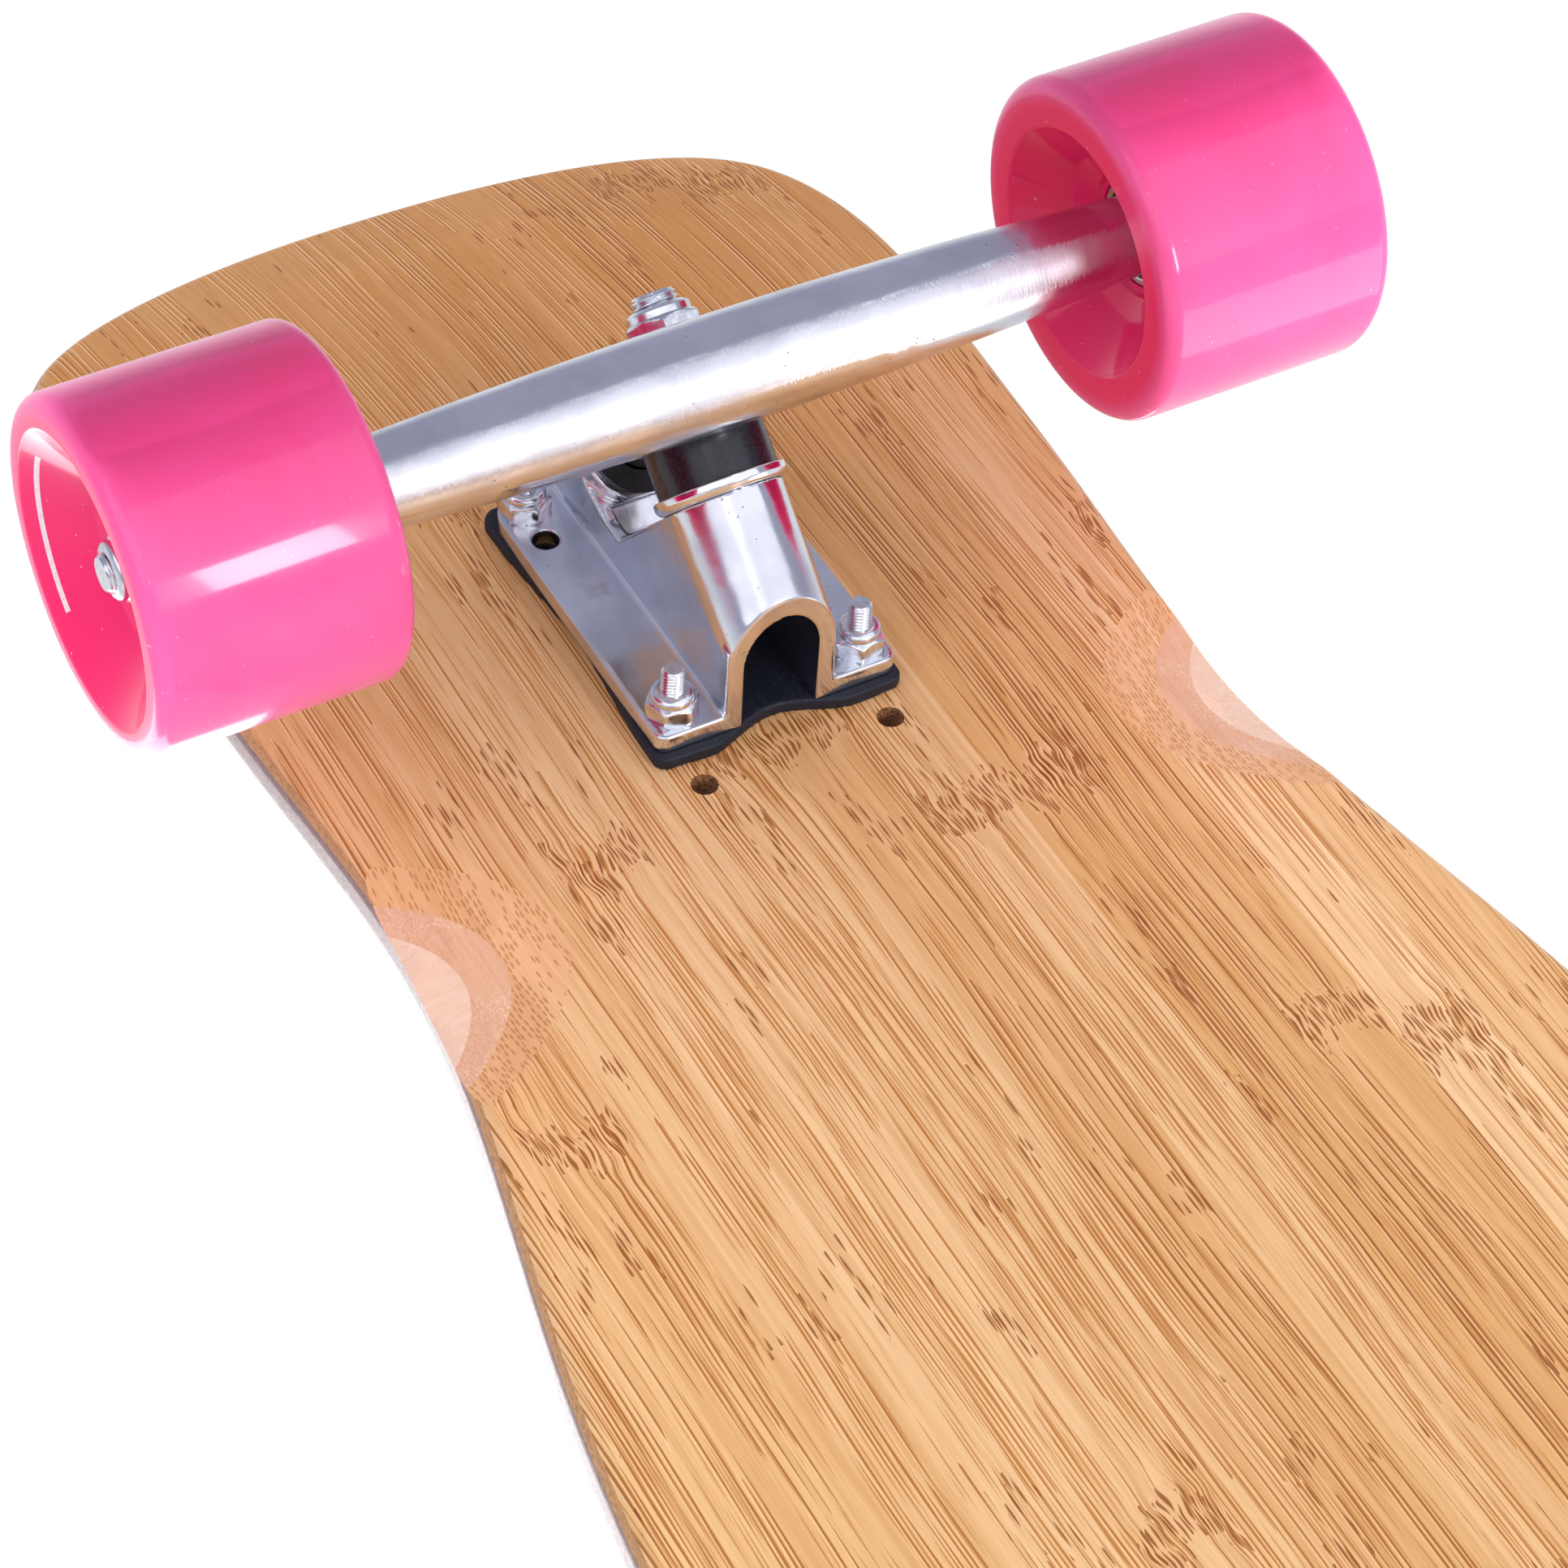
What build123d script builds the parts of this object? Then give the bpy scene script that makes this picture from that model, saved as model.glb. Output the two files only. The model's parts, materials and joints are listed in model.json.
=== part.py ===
from build123d import *
import os
from math import cos, radians, sin, tan

os.makedirs("parts", exist_ok=True)

# A longboard skateboard that stands on its wheels. Millimetres, +Z up, +X towards the nose, +Y to the
# rider's left. The origin is on the floor, under the middle of the board. Both ends are alike: the rear
# truck is the front truck turned half round.

# ---- deck ------------------------------------------------------------------------------------------
BOARD_LENGTH = 1016.0
BOARD_WIDTH = 241.0
BAMBOO_BOTTOM_THICK = 2.5
MAPLE_THICK = 1.5
MAPLE_COUNT = 4
BAMBOO_TOP_THICK = 2.2
GRIP_THICK = 0.8
KICK_START_X = 395.0          # the nose and tail start to rise here
KICK_RISE = 20.0              # and are this much higher at the tips
FLAT_HALF_WIDTH = 28.0        # the deck is flat across the trucks, then its edges curl up
CONCAVE_RISE = 3.0            # rise of the edge at the waist
WAIST_X = 297.0
WAIST_HALF_WIDTH = 89.8
# One quarter of the plan outline from mid-board to the tip: place along the board, half width there.
QUARTER_OUTLINE = [
    (0.0, BOARD_WIDTH / 2),
    (110.0, 117.6),
    (198.0, 107.0),
    (250.0, 95.6),
    (WAIST_X, WAIST_HALF_WIDTH),
    (348.0, 92.4),
    (410.0, 95.4),
    (460.0, 94.6),
    (485.0, 85.0),
    (498.0, 65.0),
    (505.5, 34.0),
    (BOARD_LENGTH / 2, 0.0),
]

# ---- wheel wells sanded into the underside -----------------------------------------------------------
WELL_X = 285.0
WELL_DEPTH = 5.4              # at the board's edge
WELL_SLOPE = 15.0             # degrees, rising towards the edge
WELL_CUTTER_RADIUS = 99.0

# ---- screw pattern -----------------------------------------------------------------------------------
INNER_BOLT_X = 318.0          # inner pair of truck screws, from the middle of the board
BOLT_SPACING_Y = 41.3
OUTER_BOLT = 63.5             # outer pair, measured from the inner pair
SPARE_PLATE_HOLE = 53.98      # the plate's third pair of holes
SPARE_DECK_HOLE = -14.1       # the deck's third pair, inboard of the truck
DECK_HOLE_RADIUS = 2.75
SCREW_RADIUS = 2.4
SCREW_HEAD_RADIUS = 4.7
SCREW_HEAD_DEPTH = 2.6
SCREW_TIP_DROP = 19.1         # tip of the screw below the deck
MOUNT_NUT_FLATS = 9.5
MOUNT_NUT_HEX = 4.6
MOUNT_NUT_COLLAR = 1.7

# ---- truck, in its own frame: origin on the deck's underside at the inner screws, +X to the tip -------
RISER_THICK = 3.0
RISER_MARGIN = 0.9            # the pad shows this much at the plate's corners
RISER_LIP = 1.8               # and this much at the plate's inner edge
RISER_WAIST = 2.2             # its long sides draw in this much
RISER_WAVE = 4.2              # and its inner edge this much, under the tunnel
PLATE_THICK = 4.2
PLATE_INNER_X = -6.1
PLATE_OUTER_X = 70.0
PLATE_HALF_WIDTH = 26.5
PLATE_INNER_CORNER = 2.5
PLATE_OUTER_CORNER = 8.0
TOWER_RADIUS = 12.0
TUNNEL_RADIUS = 8.2
KINGPIN_DROP = 40.0           # degrees, kingpin below the deck's plane; the steering axis is square to it
SEAT_X = 19.4                 # centre of the tower's seat, where the kingpin leaves the baseplate
SEAT_Z = -39.4
SEAT_WALL = 6.0
KINGPIN_RADIUS = 4.76
KINGPIN_HEAD = 6.0
KINGPIN_HEAD_FLATS = 13.0
KINGPIN_TIP = 41.5            # along the kingpin from the seat
CUP_WASHER_RADIUS = 13.6
CUP_WASHER_PLATE = 2.0
CUP_WASHER_RIM = 2.9
BOARD_BUSHING_RADIUS = 12.2
WEB_BOARD_SIDE = 15.5         # the hanger's ring web, along the kingpin from the seat
WEB_ROAD_SIDE = 19.5
ROAD_BUSHING_RADIUS = 10.0
ROAD_WASHER_RADIUS = 11.0
ROAD_WASHER_START = 28.0
ROAD_WASHER_PLATE = 1.8
KINGPIN_NUT_FLATS = 14.3
KINGPIN_NUT_HEX = 6.8
KINGPIN_NUT_COLLAR = 2.2
SEAT_LIP_BOARD = 12.8
SEAT_LIP_ROAD = 22.5
RING_RADIUS = 13.6
RING_HOLE_RADIUS = 8.5
PIVOT_MOUTH = 33.5            # along the steering axis from the ring's centre
PIVOT_TIP = 42.0
PIVOT_TIP_RADIUS = 5.0
PIVOT_GAP = 0.3
PIVOT_CUP_RADIUS = 8.0
PIVOT_BOSS_RADIUS = 12.0
POCKET_HALF_WIDTH = 9.2       # pocket under the boss, in the steering axis's frame
POCKET_FROM_AXIS = 10.3
POCKET_HEIGHT = 6.6
POCKET_START = 15.0
POCKET_END = 43.0
BUSHING_GAP = 0.1

# ---- axle and wheels ---------------------------------------------------------------------------------
AXLE_X = 24.3                 # from the inner screws
AXLE_DROP = 67.7              # below the deck's underside
AXLE_RADIUS = 4.0
AXLE_HALF_LENGTH = 126.2
HANGER_HALF_WIDTH = 91.5
HANGER_RADII = [(0.0, 11.1), (35.0, 10.6), (65.0, 9.5), (HANGER_HALF_WIDTH, 8.1)]
SPEED_RING_THICK = 1.2
SPEED_RING_RADIUS = 5.6
AXLE_NUT_FLATS = 12.7
AXLE_NUT_HEX = 5.4
AXLE_NUT_COLLAR = 1.7
WHEEL_RADIUS = 35.0
WHEEL_HALF_WIDTH = 25.5
WHEEL_LIP_RADIUS = 3.4
OUTER_MOUTH_RADIUS = 28.3
INNER_MOUTH_RADIUS = 25.1
BEARING_RADIUS = 11.0
BEARING_WIDTH = 7.0
BEARING_RING_WALL_OUTER = 1.5
BEARING_RING_WALL_INNER = 2.05
SPACER_LENGTH = 10.0
SPACER_RADIUS = 5.0
BALL_RADIUS = 1.95
RACE_RADIUS = 2.1
BALL_COUNT = 7
CAGE_HALF_WIDTH = 2.5
SEAL_THICK = 0.4

# ---- worked-out places -------------------------------------------------------------------------------
UNDERSIDE_Z = WHEEL_RADIUS + AXLE_DROP
CONCAVE_RADIUS = ((WAIST_HALF_WIDTH - FLAT_HALF_WIDTH) ** 2 + CONCAVE_RISE**2) / (2 * CONCAVE_RISE)
KICK_RADIUS = ((BOARD_LENGTH / 2 - KICK_START_X) ** 2 + KICK_RISE**2) / (2 * KICK_RISE)
KICK_SWEEP = 23.0             # degrees, a little past the tips
DECK_THICK = BAMBOO_BOTTOM_THICK + MAPLE_COUNT * MAPLE_THICK + BAMBOO_TOP_THICK
PLATE_TOP_Z = -RISER_THICK - PLATE_THICK
BALL_PITCH_RADIUS = (AXLE_RADIUS + BEARING_RING_WALL_INNER + BEARING_RADIUS - BEARING_RING_WALL_OUTER) / 2
BEARING_CENTRE = (SPACER_LENGTH + BEARING_WIDTH) / 2
WHEEL_CENTRE = HANGER_HALF_WIDTH + SPEED_RING_THICK + BEARING_WIDTH + SPACER_LENGTH / 2
RING_CENTRE = (WEB_BOARD_SIDE + WEB_ROAD_SIDE) / 2
KINGPIN_DIR = Vector(cos(radians(KINGPIN_DROP)), 0, -sin(radians(KINGPIN_DROP)))
STEER_DIR = Vector(sin(radians(KINGPIN_DROP)), 0, cos(radians(KINGPIN_DROP)))
SEAT_POINT = Vector(SEAT_X, 0, SEAT_Z)
RING_POINT = SEAT_POINT + KINGPIN_DIR * RING_CENTRE
KINGPIN = Plane(origin=SEAT_POINT, x_dir=(0, 1, 0), z_dir=KINGPIN_DIR)
STEERING = Plane(origin=RING_POINT, x_dir=(0, 1, 0), z_dir=STEER_DIR)

FRONT = Pos(INNER_BOLT_X, 0, UNDERSIDE_Z)
TRUCKS = {"front": FRONT, "rear": Rot(0, 0, 180) * FRONT}


def disc(radius, start, end):
    """Solid cylinder on the Z axis between two heights."""
    return Pos(0, 0, start) * Cylinder(radius, end - start, align=(Align.CENTER, Align.CENTER, Align.MIN))


def ring(outer, inner, start, end):
    """Tube on the Z axis between two heights."""
    return disc(outer, start, end) - disc(inner, start - 1, end + 1)


def cone(radius_start, radius_end, start, end):
    """Solid cone frustum on the Z axis between two heights."""
    align = (Align.CENTER, Align.CENTER, Align.MIN)
    return Pos(0, 0, start) * Cone(radius_start, radius_end, end - start, align=align)


def hexagon(flats, start, end):
    """Hexagonal prism on the Z axis, with its corners eased by a shallow cone at the far end."""
    prism = Pos(0, 0, start) * extrude(RegularPolygon(flats / 2, 6, major_radius=False), end - start)
    corner = flats / 2 / cos(radians(30))
    return prism & cone(corner + 2 * (end - start), corner - 0.35, start, end)


def locknut(flats, hex_height, collar_height, hole, start):
    """Self-locking nut: hexagon with a round collar that holds the nylon insert."""
    collar = disc(flats / 2 * 0.9, start + hex_height, start + hex_height + collar_height)
    return hexagon(flats, start, start + hex_height) + collar - disc(hole, start - 1, start + 30)


def block(x_low, x_high, half_width, z_low, z_high):
    """Box symmetric about the board's centre plane."""
    size = (x_high - x_low, 2 * half_width, z_high - z_low)
    return Pos((x_low + x_high) / 2, 0, (z_low + z_high) / 2) * Box(*size)


def group(solids):
    """Several separate solids written as one node."""
    return Compound(children=[s for item in solids for s in item.solids()])


def write(name, part):
    export_step(part, f"parts/{name}.step")


# ---- deck --------------------------------------------------------------------------------------------
def ply_section(bottom, top):
    """Cross-section of one ply, on the plane x = 0: flat in the middle, curling up to both edges."""
    reach = BOARD_WIDTH / 2 + 10

    def edge_height(height):
        """Height at the reach of the surface that lies this far above the underside."""
        radius = CONCAVE_RADIUS - height
        return height + radius - (radius**2 - (reach - FLAT_HALF_WIDTH) ** 2) ** 0.5

    def side(height, sign):
        start, end = (sign * FLAT_HALF_WIDTH, height), (sign * reach, edge_height(height))
        return RadiusArc(start, end, -sign * (CONCAVE_RADIUS - height), short_sagitta=True)

    edges = []
    for height in (bottom, top):
        edges += [side(height, 1), side(height, -1)]
        edges.append(Line((-FLAT_HALF_WIDTH, height), (FLAT_HALF_WIDTH, height)))
    for sign in (1, -1):
        edges.append(Line((sign * reach, edge_height(bottom)), (sign * reach, edge_height(top))))
    return Plane(origin=(0, 0, UNDERSIDE_Z), x_dir=(0, 1, 0), z_dir=(1, 0, 0)) * make_face(edges)


def ply_blank(bottom, top):
    """Pressed sheet of one ply, before it is cut to the outline: a straight middle and two kicked ends."""
    section = ply_section(bottom, top)
    sheet = Pos(-KICK_START_X, 0, 0) * extrude(section, 2 * KICK_START_X)
    for x_sign in (1, -1):
        place = Pos(x_sign * KICK_START_X, 0, 0)
        kick_axis = Axis((x_sign * KICK_START_X, 0, UNDERSIDE_Z + KICK_RADIUS), (0, -x_sign, 0))
        sheet += revolve(place * section, kick_axis, KICK_SWEEP)
    return sheet


def deck_outline():
    """Plan outline, mirrored about both centre lines from one quarter."""
    quarter = Spline(*QUARTER_OUTLINE, tangents=[(1, 0), (0, -1)])
    half = quarter + mirror(quarter, Plane.XZ)
    return make_face((half + mirror(half, Plane.YZ)).edges())


def wheel_well(x_sign, y_sign):
    """Cylinder that sands one wheel well: it is tilted, so it cuts deepest at the edge."""
    edge_height = UNDERSIDE_Z + CONCAVE_RISE + WELL_DEPTH
    cutter = Pos(0, 0, -WELL_CUTTER_RADIUS) * Rot(90, 0, 0) * Cylinder(WELL_CUTTER_RADIUS, 160)
    at_edge = Pos(x_sign * WELL_X, y_sign * WAIST_HALF_WIDTH, edge_height)
    return at_edge * Rot(y_sign * WELL_SLOPE, 0, 0) * cutter


def deck_holes():
    """Six screw holes at each truck, with countersinks where the four screws go."""
    holes = []
    top = UNDERSIDE_Z + DECK_THICK + GRIP_THICK
    for x in (SPARE_DECK_HOLE, 0, OUTER_BOLT):
        for x_sign in (1, -1):
            for y_sign in (1, -1):
                place = Pos(x_sign * (INNER_BOLT_X + x), y_sign * BOLT_SPACING_Y / 2, 0)
                holes.append(place * disc(DECK_HOLE_RADIUS, UNDERSIDE_Z - 5, top + 5))
                if x != SPARE_DECK_HOLE:
                    sink = cone(DECK_HOLE_RADIUS, SCREW_HEAD_RADIUS + 0.25, top - SCREW_HEAD_DEPTH - 0.1, top)
                    holes.append(place * (sink + disc(SCREW_HEAD_RADIUS + 0.25, top, top + 1)))
    return holes


def build_deck():
    """Bamboo underside, maple core, bamboo top and grip tape, each one ply of the pressed deck."""
    blank = Pos(0, 0, UNDERSIDE_Z - 15) * extrude(deck_outline(), 70)
    cutters = deck_holes() + [wheel_well(x, y) for x in (1, -1) for y in (1, -1)]
    maples = [(f"deck_maple_ply_{i + 1}", MAPLE_THICK) for i in range(MAPLE_COUNT)]
    plies = [("deck_bamboo_bottom", BAMBOO_BOTTOM_THICK)] + maples
    plies += [("deck_bamboo_top", BAMBOO_TOP_THICK), ("grip_tape", GRIP_THICK)]
    height = 0.0
    for name, thick in plies:
        write(name, (ply_blank(height, height + thick) & blank) - cutters)
        height += thick


# ---- truck parts that stay with the deck -------------------------------------------------------------
def plate_outline():
    """Outline of the baseplate, with small corners at the inner end and round ones at the tip end."""
    length = PLATE_OUTER_X - PLATE_INNER_X
    sheet = Pos(PLATE_INNER_X + length / 2, 0) * Rectangle(length, 2 * PLATE_HALF_WIDTH)
    sheet = fillet(sheet.vertices().group_by(Axis.X)[-1], PLATE_OUTER_CORNER)
    return fillet(sheet.vertices().group_by(Axis.X)[0], PLATE_INNER_CORNER)


def truck_screw_holes(radius, rows):
    """Vertical holes for pairs of truck screws, at the given distances from the inner pair."""
    return [
        Pos(x, y * BOLT_SPACING_Y / 2, 0) * disc(radius, -20, 20) for x in rows for y in (1, -1)
    ]


def riser_outline():
    """Outline of the rubber pad: waisted sides, and an inner edge that waves in under the tunnel's mouth."""
    inner, outer = PLATE_INNER_X - RISER_LIP, PLATE_OUTER_X + RISER_MARGIN
    wide = PLATE_HALF_WIDTH + RISER_MARGIN
    near, far = 3.0, 4.0
    side_start, side_end = (inner + near, wide), (outer - far, wide)
    waist = ((inner + outer) / 2, wide - RISER_WAIST)
    side = Spline(side_start, waist, side_end, tangents=[(1, 0), (1, 0)])
    tip_corner = CenterArc((outer - far, wide - far), far, 0, 90)
    inner_corner = CenterArc((inner + near, wide - near), near, 90, 90)
    tip_edge = Line((outer, wide - far), (outer, far - wide))
    wave = [(inner, wide - near), (inner, 13.5), (inner + RISER_WAVE, 0), (inner, -13.5), (inner, near - wide)]
    inner_edge = Spline(*wave, tangents=[(0, -1), (0, -1)])
    half = [side, tip_corner, inner_corner]
    return make_face([*half, *[mirror(edge, Plane.XZ) for edge in half], tip_edge, inner_edge])


def riser_pad():
    """Rubber pad between the baseplate and the deck."""
    pad = Pos(0, 0, -RISER_THICK) * extrude(riser_outline(), RISER_THICK)
    return pad - truck_screw_holes(DECK_HOLE_RADIUS, (0, SPARE_PLATE_HOLE, OUTER_BOLT))


def baseplate():
    """Cast plate with the kingpin tower, the tunnel through it, the trough and the pivot boss."""
    seat_to_trough = 31.0
    trough = SEAT_POINT + STEER_DIR * seat_to_trough
    end_x = PLATE_OUTER_X + 1.0
    plate = Pos(0, 0, PLATE_TOP_Z) * extrude(plate_outline(), PLATE_THICK)

    # Tower: a barrel on the kingpin's line, on flat walls that come down to the plate.
    wall_outline = Polyline(
        (PLATE_INNER_X, 0, PLATE_TOP_Z),
        (PLATE_INNER_X, 0, SEAT_Z + (SEAT_X - PLATE_INNER_X) * tan(radians(KINGPIN_DROP))),
        SEAT_POINT,
        trough,
        (trough.X + 6.0, 0, trough.Z),
        (end_x - 15.0, 0, trough.Z - 3.5),
        (end_x, 0, PLATE_TOP_Z),
        close=True,
    )
    walls = extrude(make_face(wall_outline), TOWER_RADIUS, both=True)
    keep = block(PLATE_INNER_X, end_x, 40, -90, -RISER_THICK)
    barrel = (KINGPIN * disc(TOWER_RADIUS, -60, 0)) & keep

    # Boss that holds the pivot cup, square to the steering axis.
    boss = (STEERING * disc(PIVOT_BOSS_RADIUS, PIVOT_MOUTH, 75)) & keep
    body = plate + walls + barrel + boss

    # Tunnel for the kingpin's head, open to the inner end and to the deck.
    tunnel_outline = Polyline(
        (PLATE_INNER_X - 20, 0, 5),
        SEAT_POINT - KINGPIN_DIR * 60,
        SEAT_POINT - KINGPIN_DIR * SEAT_WALL,
        SEAT_POINT - KINGPIN_DIR * SEAT_WALL + STEER_DIR * 60,
        close=True,
    )
    tunnel = extrude(make_face(tunnel_outline), TUNNEL_RADIUS, both=True)
    tunnel += KINGPIN * disc(TUNNEL_RADIUS, -70, -SEAT_WALL)
    tunnel &= block(PLATE_INNER_X - 20, 33, 40, -90, 10)
    body -= tunnel
    body -= KINGPIN * disc(KINGPIN_RADIUS + 0.04, -20, 5)

    # Pocket under the boss, open towards the seat, between two side walls.
    body -= STEERING * Pos(0, POCKET_FROM_AXIS + POCKET_HEIGHT / 2, (POCKET_START + POCKET_END) / 2) * Box(
        2 * POCKET_HALF_WIDTH, POCKET_HEIGHT, POCKET_END - POCKET_START
    )

    # Seat for the pivot cup.
    body -= STEERING * disc(PIVOT_CUP_RADIUS, PIVOT_MOUTH - 2, PIVOT_TIP + PIVOT_GAP + 2.5)
    return body - truck_screw_holes(DECK_HOLE_RADIUS, (0, SPARE_PLATE_HOLE, OUTER_BOLT))


def pivot_nose_radius(distance):
    """Radius of the hanger's pivot nose, a cone that narrows to its round tip."""
    start, start_radius = 12.0, 8.2
    return start_radius - (distance - start) * (start_radius - PIVOT_TIP_RADIUS) / (PIVOT_TIP - 5 - start)


def pivot_cup():
    """Plastic cup with a flange at its mouth, shaped to the pivot nose."""
    ball = PIVOT_TIP - PIVOT_TIP_RADIUS
    bottom = PIVOT_TIP + PIVOT_GAP + 2.4
    cup = disc(PIVOT_CUP_RADIUS - 0.02, PIVOT_MOUTH - 1.0, bottom)
    cup += disc(PIVOT_BOSS_RADIUS - 1.6, PIVOT_MOUTH - 1.0, PIVOT_MOUTH)
    wide = pivot_nose_radius(PIVOT_MOUTH - 2) + PIVOT_GAP
    cup -= cone(wide, PIVOT_TIP_RADIUS + PIVOT_GAP, PIVOT_MOUTH - 2, ball)
    cup -= Pos(0, 0, ball) * Sphere(PIVOT_TIP_RADIUS + PIVOT_GAP)
    return STEERING * cup


def kingpin():
    """Kingpin bolt: hexagonal head in the tunnel, shank through the seat, chamfered tip."""
    head = hexagon(KINGPIN_HEAD_FLATS, -SEAT_WALL - KINGPIN_HEAD, -SEAT_WALL)
    shank = disc(KINGPIN_RADIUS, -SEAT_WALL, KINGPIN_TIP - 1)
    tip = cone(KINGPIN_RADIUS, KINGPIN_RADIUS - 0.8, KINGPIN_TIP - 1, KINGPIN_TIP)
    return KINGPIN * (head + shank + tip)


def kingpin_nut():
    """Lock nut that squeezes the bushings."""
    start = ROAD_WASHER_START + ROAD_WASHER_PLATE
    return KINGPIN * locknut(KINGPIN_NUT_FLATS, KINGPIN_NUT_HEX, KINGPIN_NUT_COLLAR, KINGPIN_RADIUS, start)


def cup_washers():
    """Two washers whose rims hold the outer ends of the bushings."""
    bore = KINGPIN_RADIUS + 0.15
    board = ring(CUP_WASHER_RADIUS, bore, 0, CUP_WASHER_PLATE)
    board += ring(CUP_WASHER_RADIUS, BOARD_BUSHING_RADIUS + 0.1, 0, CUP_WASHER_RIM)
    road_end = ROAD_WASHER_START + ROAD_WASHER_PLATE
    road = ring(ROAD_WASHER_RADIUS, bore, ROAD_WASHER_START, road_end)
    road += ring(ROAD_WASHER_RADIUS, ROAD_BUSHING_RADIUS + 0.3, ROAD_WASHER_START - 0.9, road_end)
    return group([KINGPIN * board, KINGPIN * road])


def bushing(radius, start, end):
    """Urethane bushing on the kingpin, with eased edges."""
    sleeve = ring(radius, KINGPIN_RADIUS + 0.25, start, end)
    rims = sleeve.edges().filter_by(GeomType.CIRCLE).group_by(SortBy.RADIUS)[-1]
    return KINGPIN * chamfer(rims, 0.6)


def bushing_boardside():
    return bushing(BOARD_BUSHING_RADIUS, CUP_WASHER_PLATE, WEB_BOARD_SIDE - BUSHING_GAP)


def bushing_roadside():
    return bushing(ROAD_BUSHING_RADIUS, WEB_ROAD_SIDE + BUSHING_GAP, ROAD_WASHER_START)


def mounting_screws():
    """Four countersunk machine screws from the top of the deck down through the baseplate."""
    top = DECK_THICK + GRIP_THICK
    shank = disc(SCREW_RADIUS, -SCREW_TIP_DROP + 0.8, top - SCREW_HEAD_DEPTH)
    tip = cone(SCREW_RADIUS - 0.6, SCREW_RADIUS, -SCREW_TIP_DROP, -SCREW_TIP_DROP + 0.8)
    head = cone(SCREW_RADIUS, SCREW_HEAD_RADIUS, top - SCREW_HEAD_DEPTH, top)
    drive = Pos(0, 0, top) * (Box(5.0, 1.1, 3.2) + Box(1.1, 5.0, 3.2))
    return group(at_truck_screws(shank + tip + head - drive))


def mounting_nuts():
    """Four lock nuts under the baseplate."""
    nut = locknut(MOUNT_NUT_FLATS, MOUNT_NUT_HEX, MOUNT_NUT_COLLAR, SCREW_RADIUS, -PLATE_TOP_Z)
    return group(at_truck_screws(Rot(180, 0, 0) * nut))


def at_truck_screws(part):
    """The part repeated at the truck's four screws."""
    places = [(x, y * BOLT_SPACING_Y / 2) for x in (0, OUTER_BOLT) for y in (1, -1)]
    return [Pos(x, y, 0) * part for x, y in places]


# ---- truck parts that steer --------------------------------------------------------------------------
def on_axle(part, side):
    """Puts a part made on the Z axis onto the axle: +Z goes outwards, to the left (1) or right (-1)."""
    return Pos(AXLE_X, 0, -AXLE_DROP) * Rot(-90 * side, 0, 0) * part


def hanger():
    """Cast hanger: tapered beam, ring round the bushings, two webs and the pivot nose."""
    profile = [(radius, place) for place, radius in HANGER_RADII]
    taper = Spline(*profile, tangents=[(0, 1), (-0.06, 1)])
    end = Polyline(profile[-1], (0, HANGER_HALF_WIDTH), (0, 0), profile[0])
    half = revolve(Plane.XZ * make_face([taper, *end.edges()]), Axis.Z)
    body = on_axle(half, 1) + on_axle(half, -1)

    # Ring round the kingpin, with its two bushing seats.
    body += KINGPIN * disc(RING_RADIUS, SEAT_LIP_BOARD, SEAT_LIP_ROAD)

    # Webs from the beam to the pivot nose.
    axle_reach = (Vector(AXLE_X, 0, -AXLE_DROP) - RING_POINT).dot(STEER_DIR)
    web_outline = Polyline((-36, axle_reach), (36, axle_reach), (6.5, 22), (-6.5, 22), close=True)
    web = extrude(make_face(web_outline), 3.2, both=True)
    body += Plane(origin=RING_POINT, x_dir=(0, 1, 0), z_dir=KINGPIN_DIR * -1) * web

    # Pivot nose.
    ball = PIVOT_TIP - PIVOT_TIP_RADIUS
    body += STEERING * cone(pivot_nose_radius(8), PIVOT_TIP_RADIUS, 8, ball)
    body += STEERING * (Pos(0, 0, ball) * Sphere(PIVOT_TIP_RADIUS))

    # Bushing seats, kingpin hole and the relief that clears the washer and the nut when it steers.
    body -= KINGPIN * disc(BOARD_BUSHING_RADIUS + 0.4, 0, WEB_BOARD_SIDE)
    body -= KINGPIN * disc(RING_HOLE_RADIUS, 0, 60)
    body -= KINGPIN * disc(ROAD_BUSHING_RADIUS + 0.5, WEB_ROAD_SIDE, 60)
    body -= KINGPIN * cone(13.4, 15.6, SEAT_LIP_ROAD, 34)
    return body - on_axle(disc(AXLE_RADIUS, -200, 200), 1)


def axle():
    """Steel axle through the hanger, with chamfered ends."""
    half = disc(AXLE_RADIUS, 0, AXLE_HALF_LENGTH - 1)
    half += cone(AXLE_RADIUS, AXLE_RADIUS - 0.8, AXLE_HALF_LENGTH - 1, AXLE_HALF_LENGTH)
    return on_axle(half, 1) + on_axle(half, -1)


def axle_nuts():
    """Two lock nuts on the ends of the axle."""
    start = WHEEL_CENTRE + BEARING_CENTRE + BEARING_WIDTH / 2 + SPEED_RING_THICK
    nut = locknut(AXLE_NUT_FLATS, AXLE_NUT_HEX, AXLE_NUT_COLLAR, AXLE_RADIUS, start)
    return group([on_axle(nut, side) for side in (1, -1)])


def speed_rings():
    """Thin washers on both sides of each wheel, against the bearings' inner rings."""
    outer = WHEEL_CENTRE + BEARING_CENTRE + BEARING_WIDTH / 2
    washer = ring(SPEED_RING_RADIUS, AXLE_RADIUS, 0, SPEED_RING_THICK)
    places = [HANGER_HALF_WIDTH, outer]
    return group([on_axle(Pos(0, 0, z) * washer, side) for side in (1, -1) for z in places])


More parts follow.
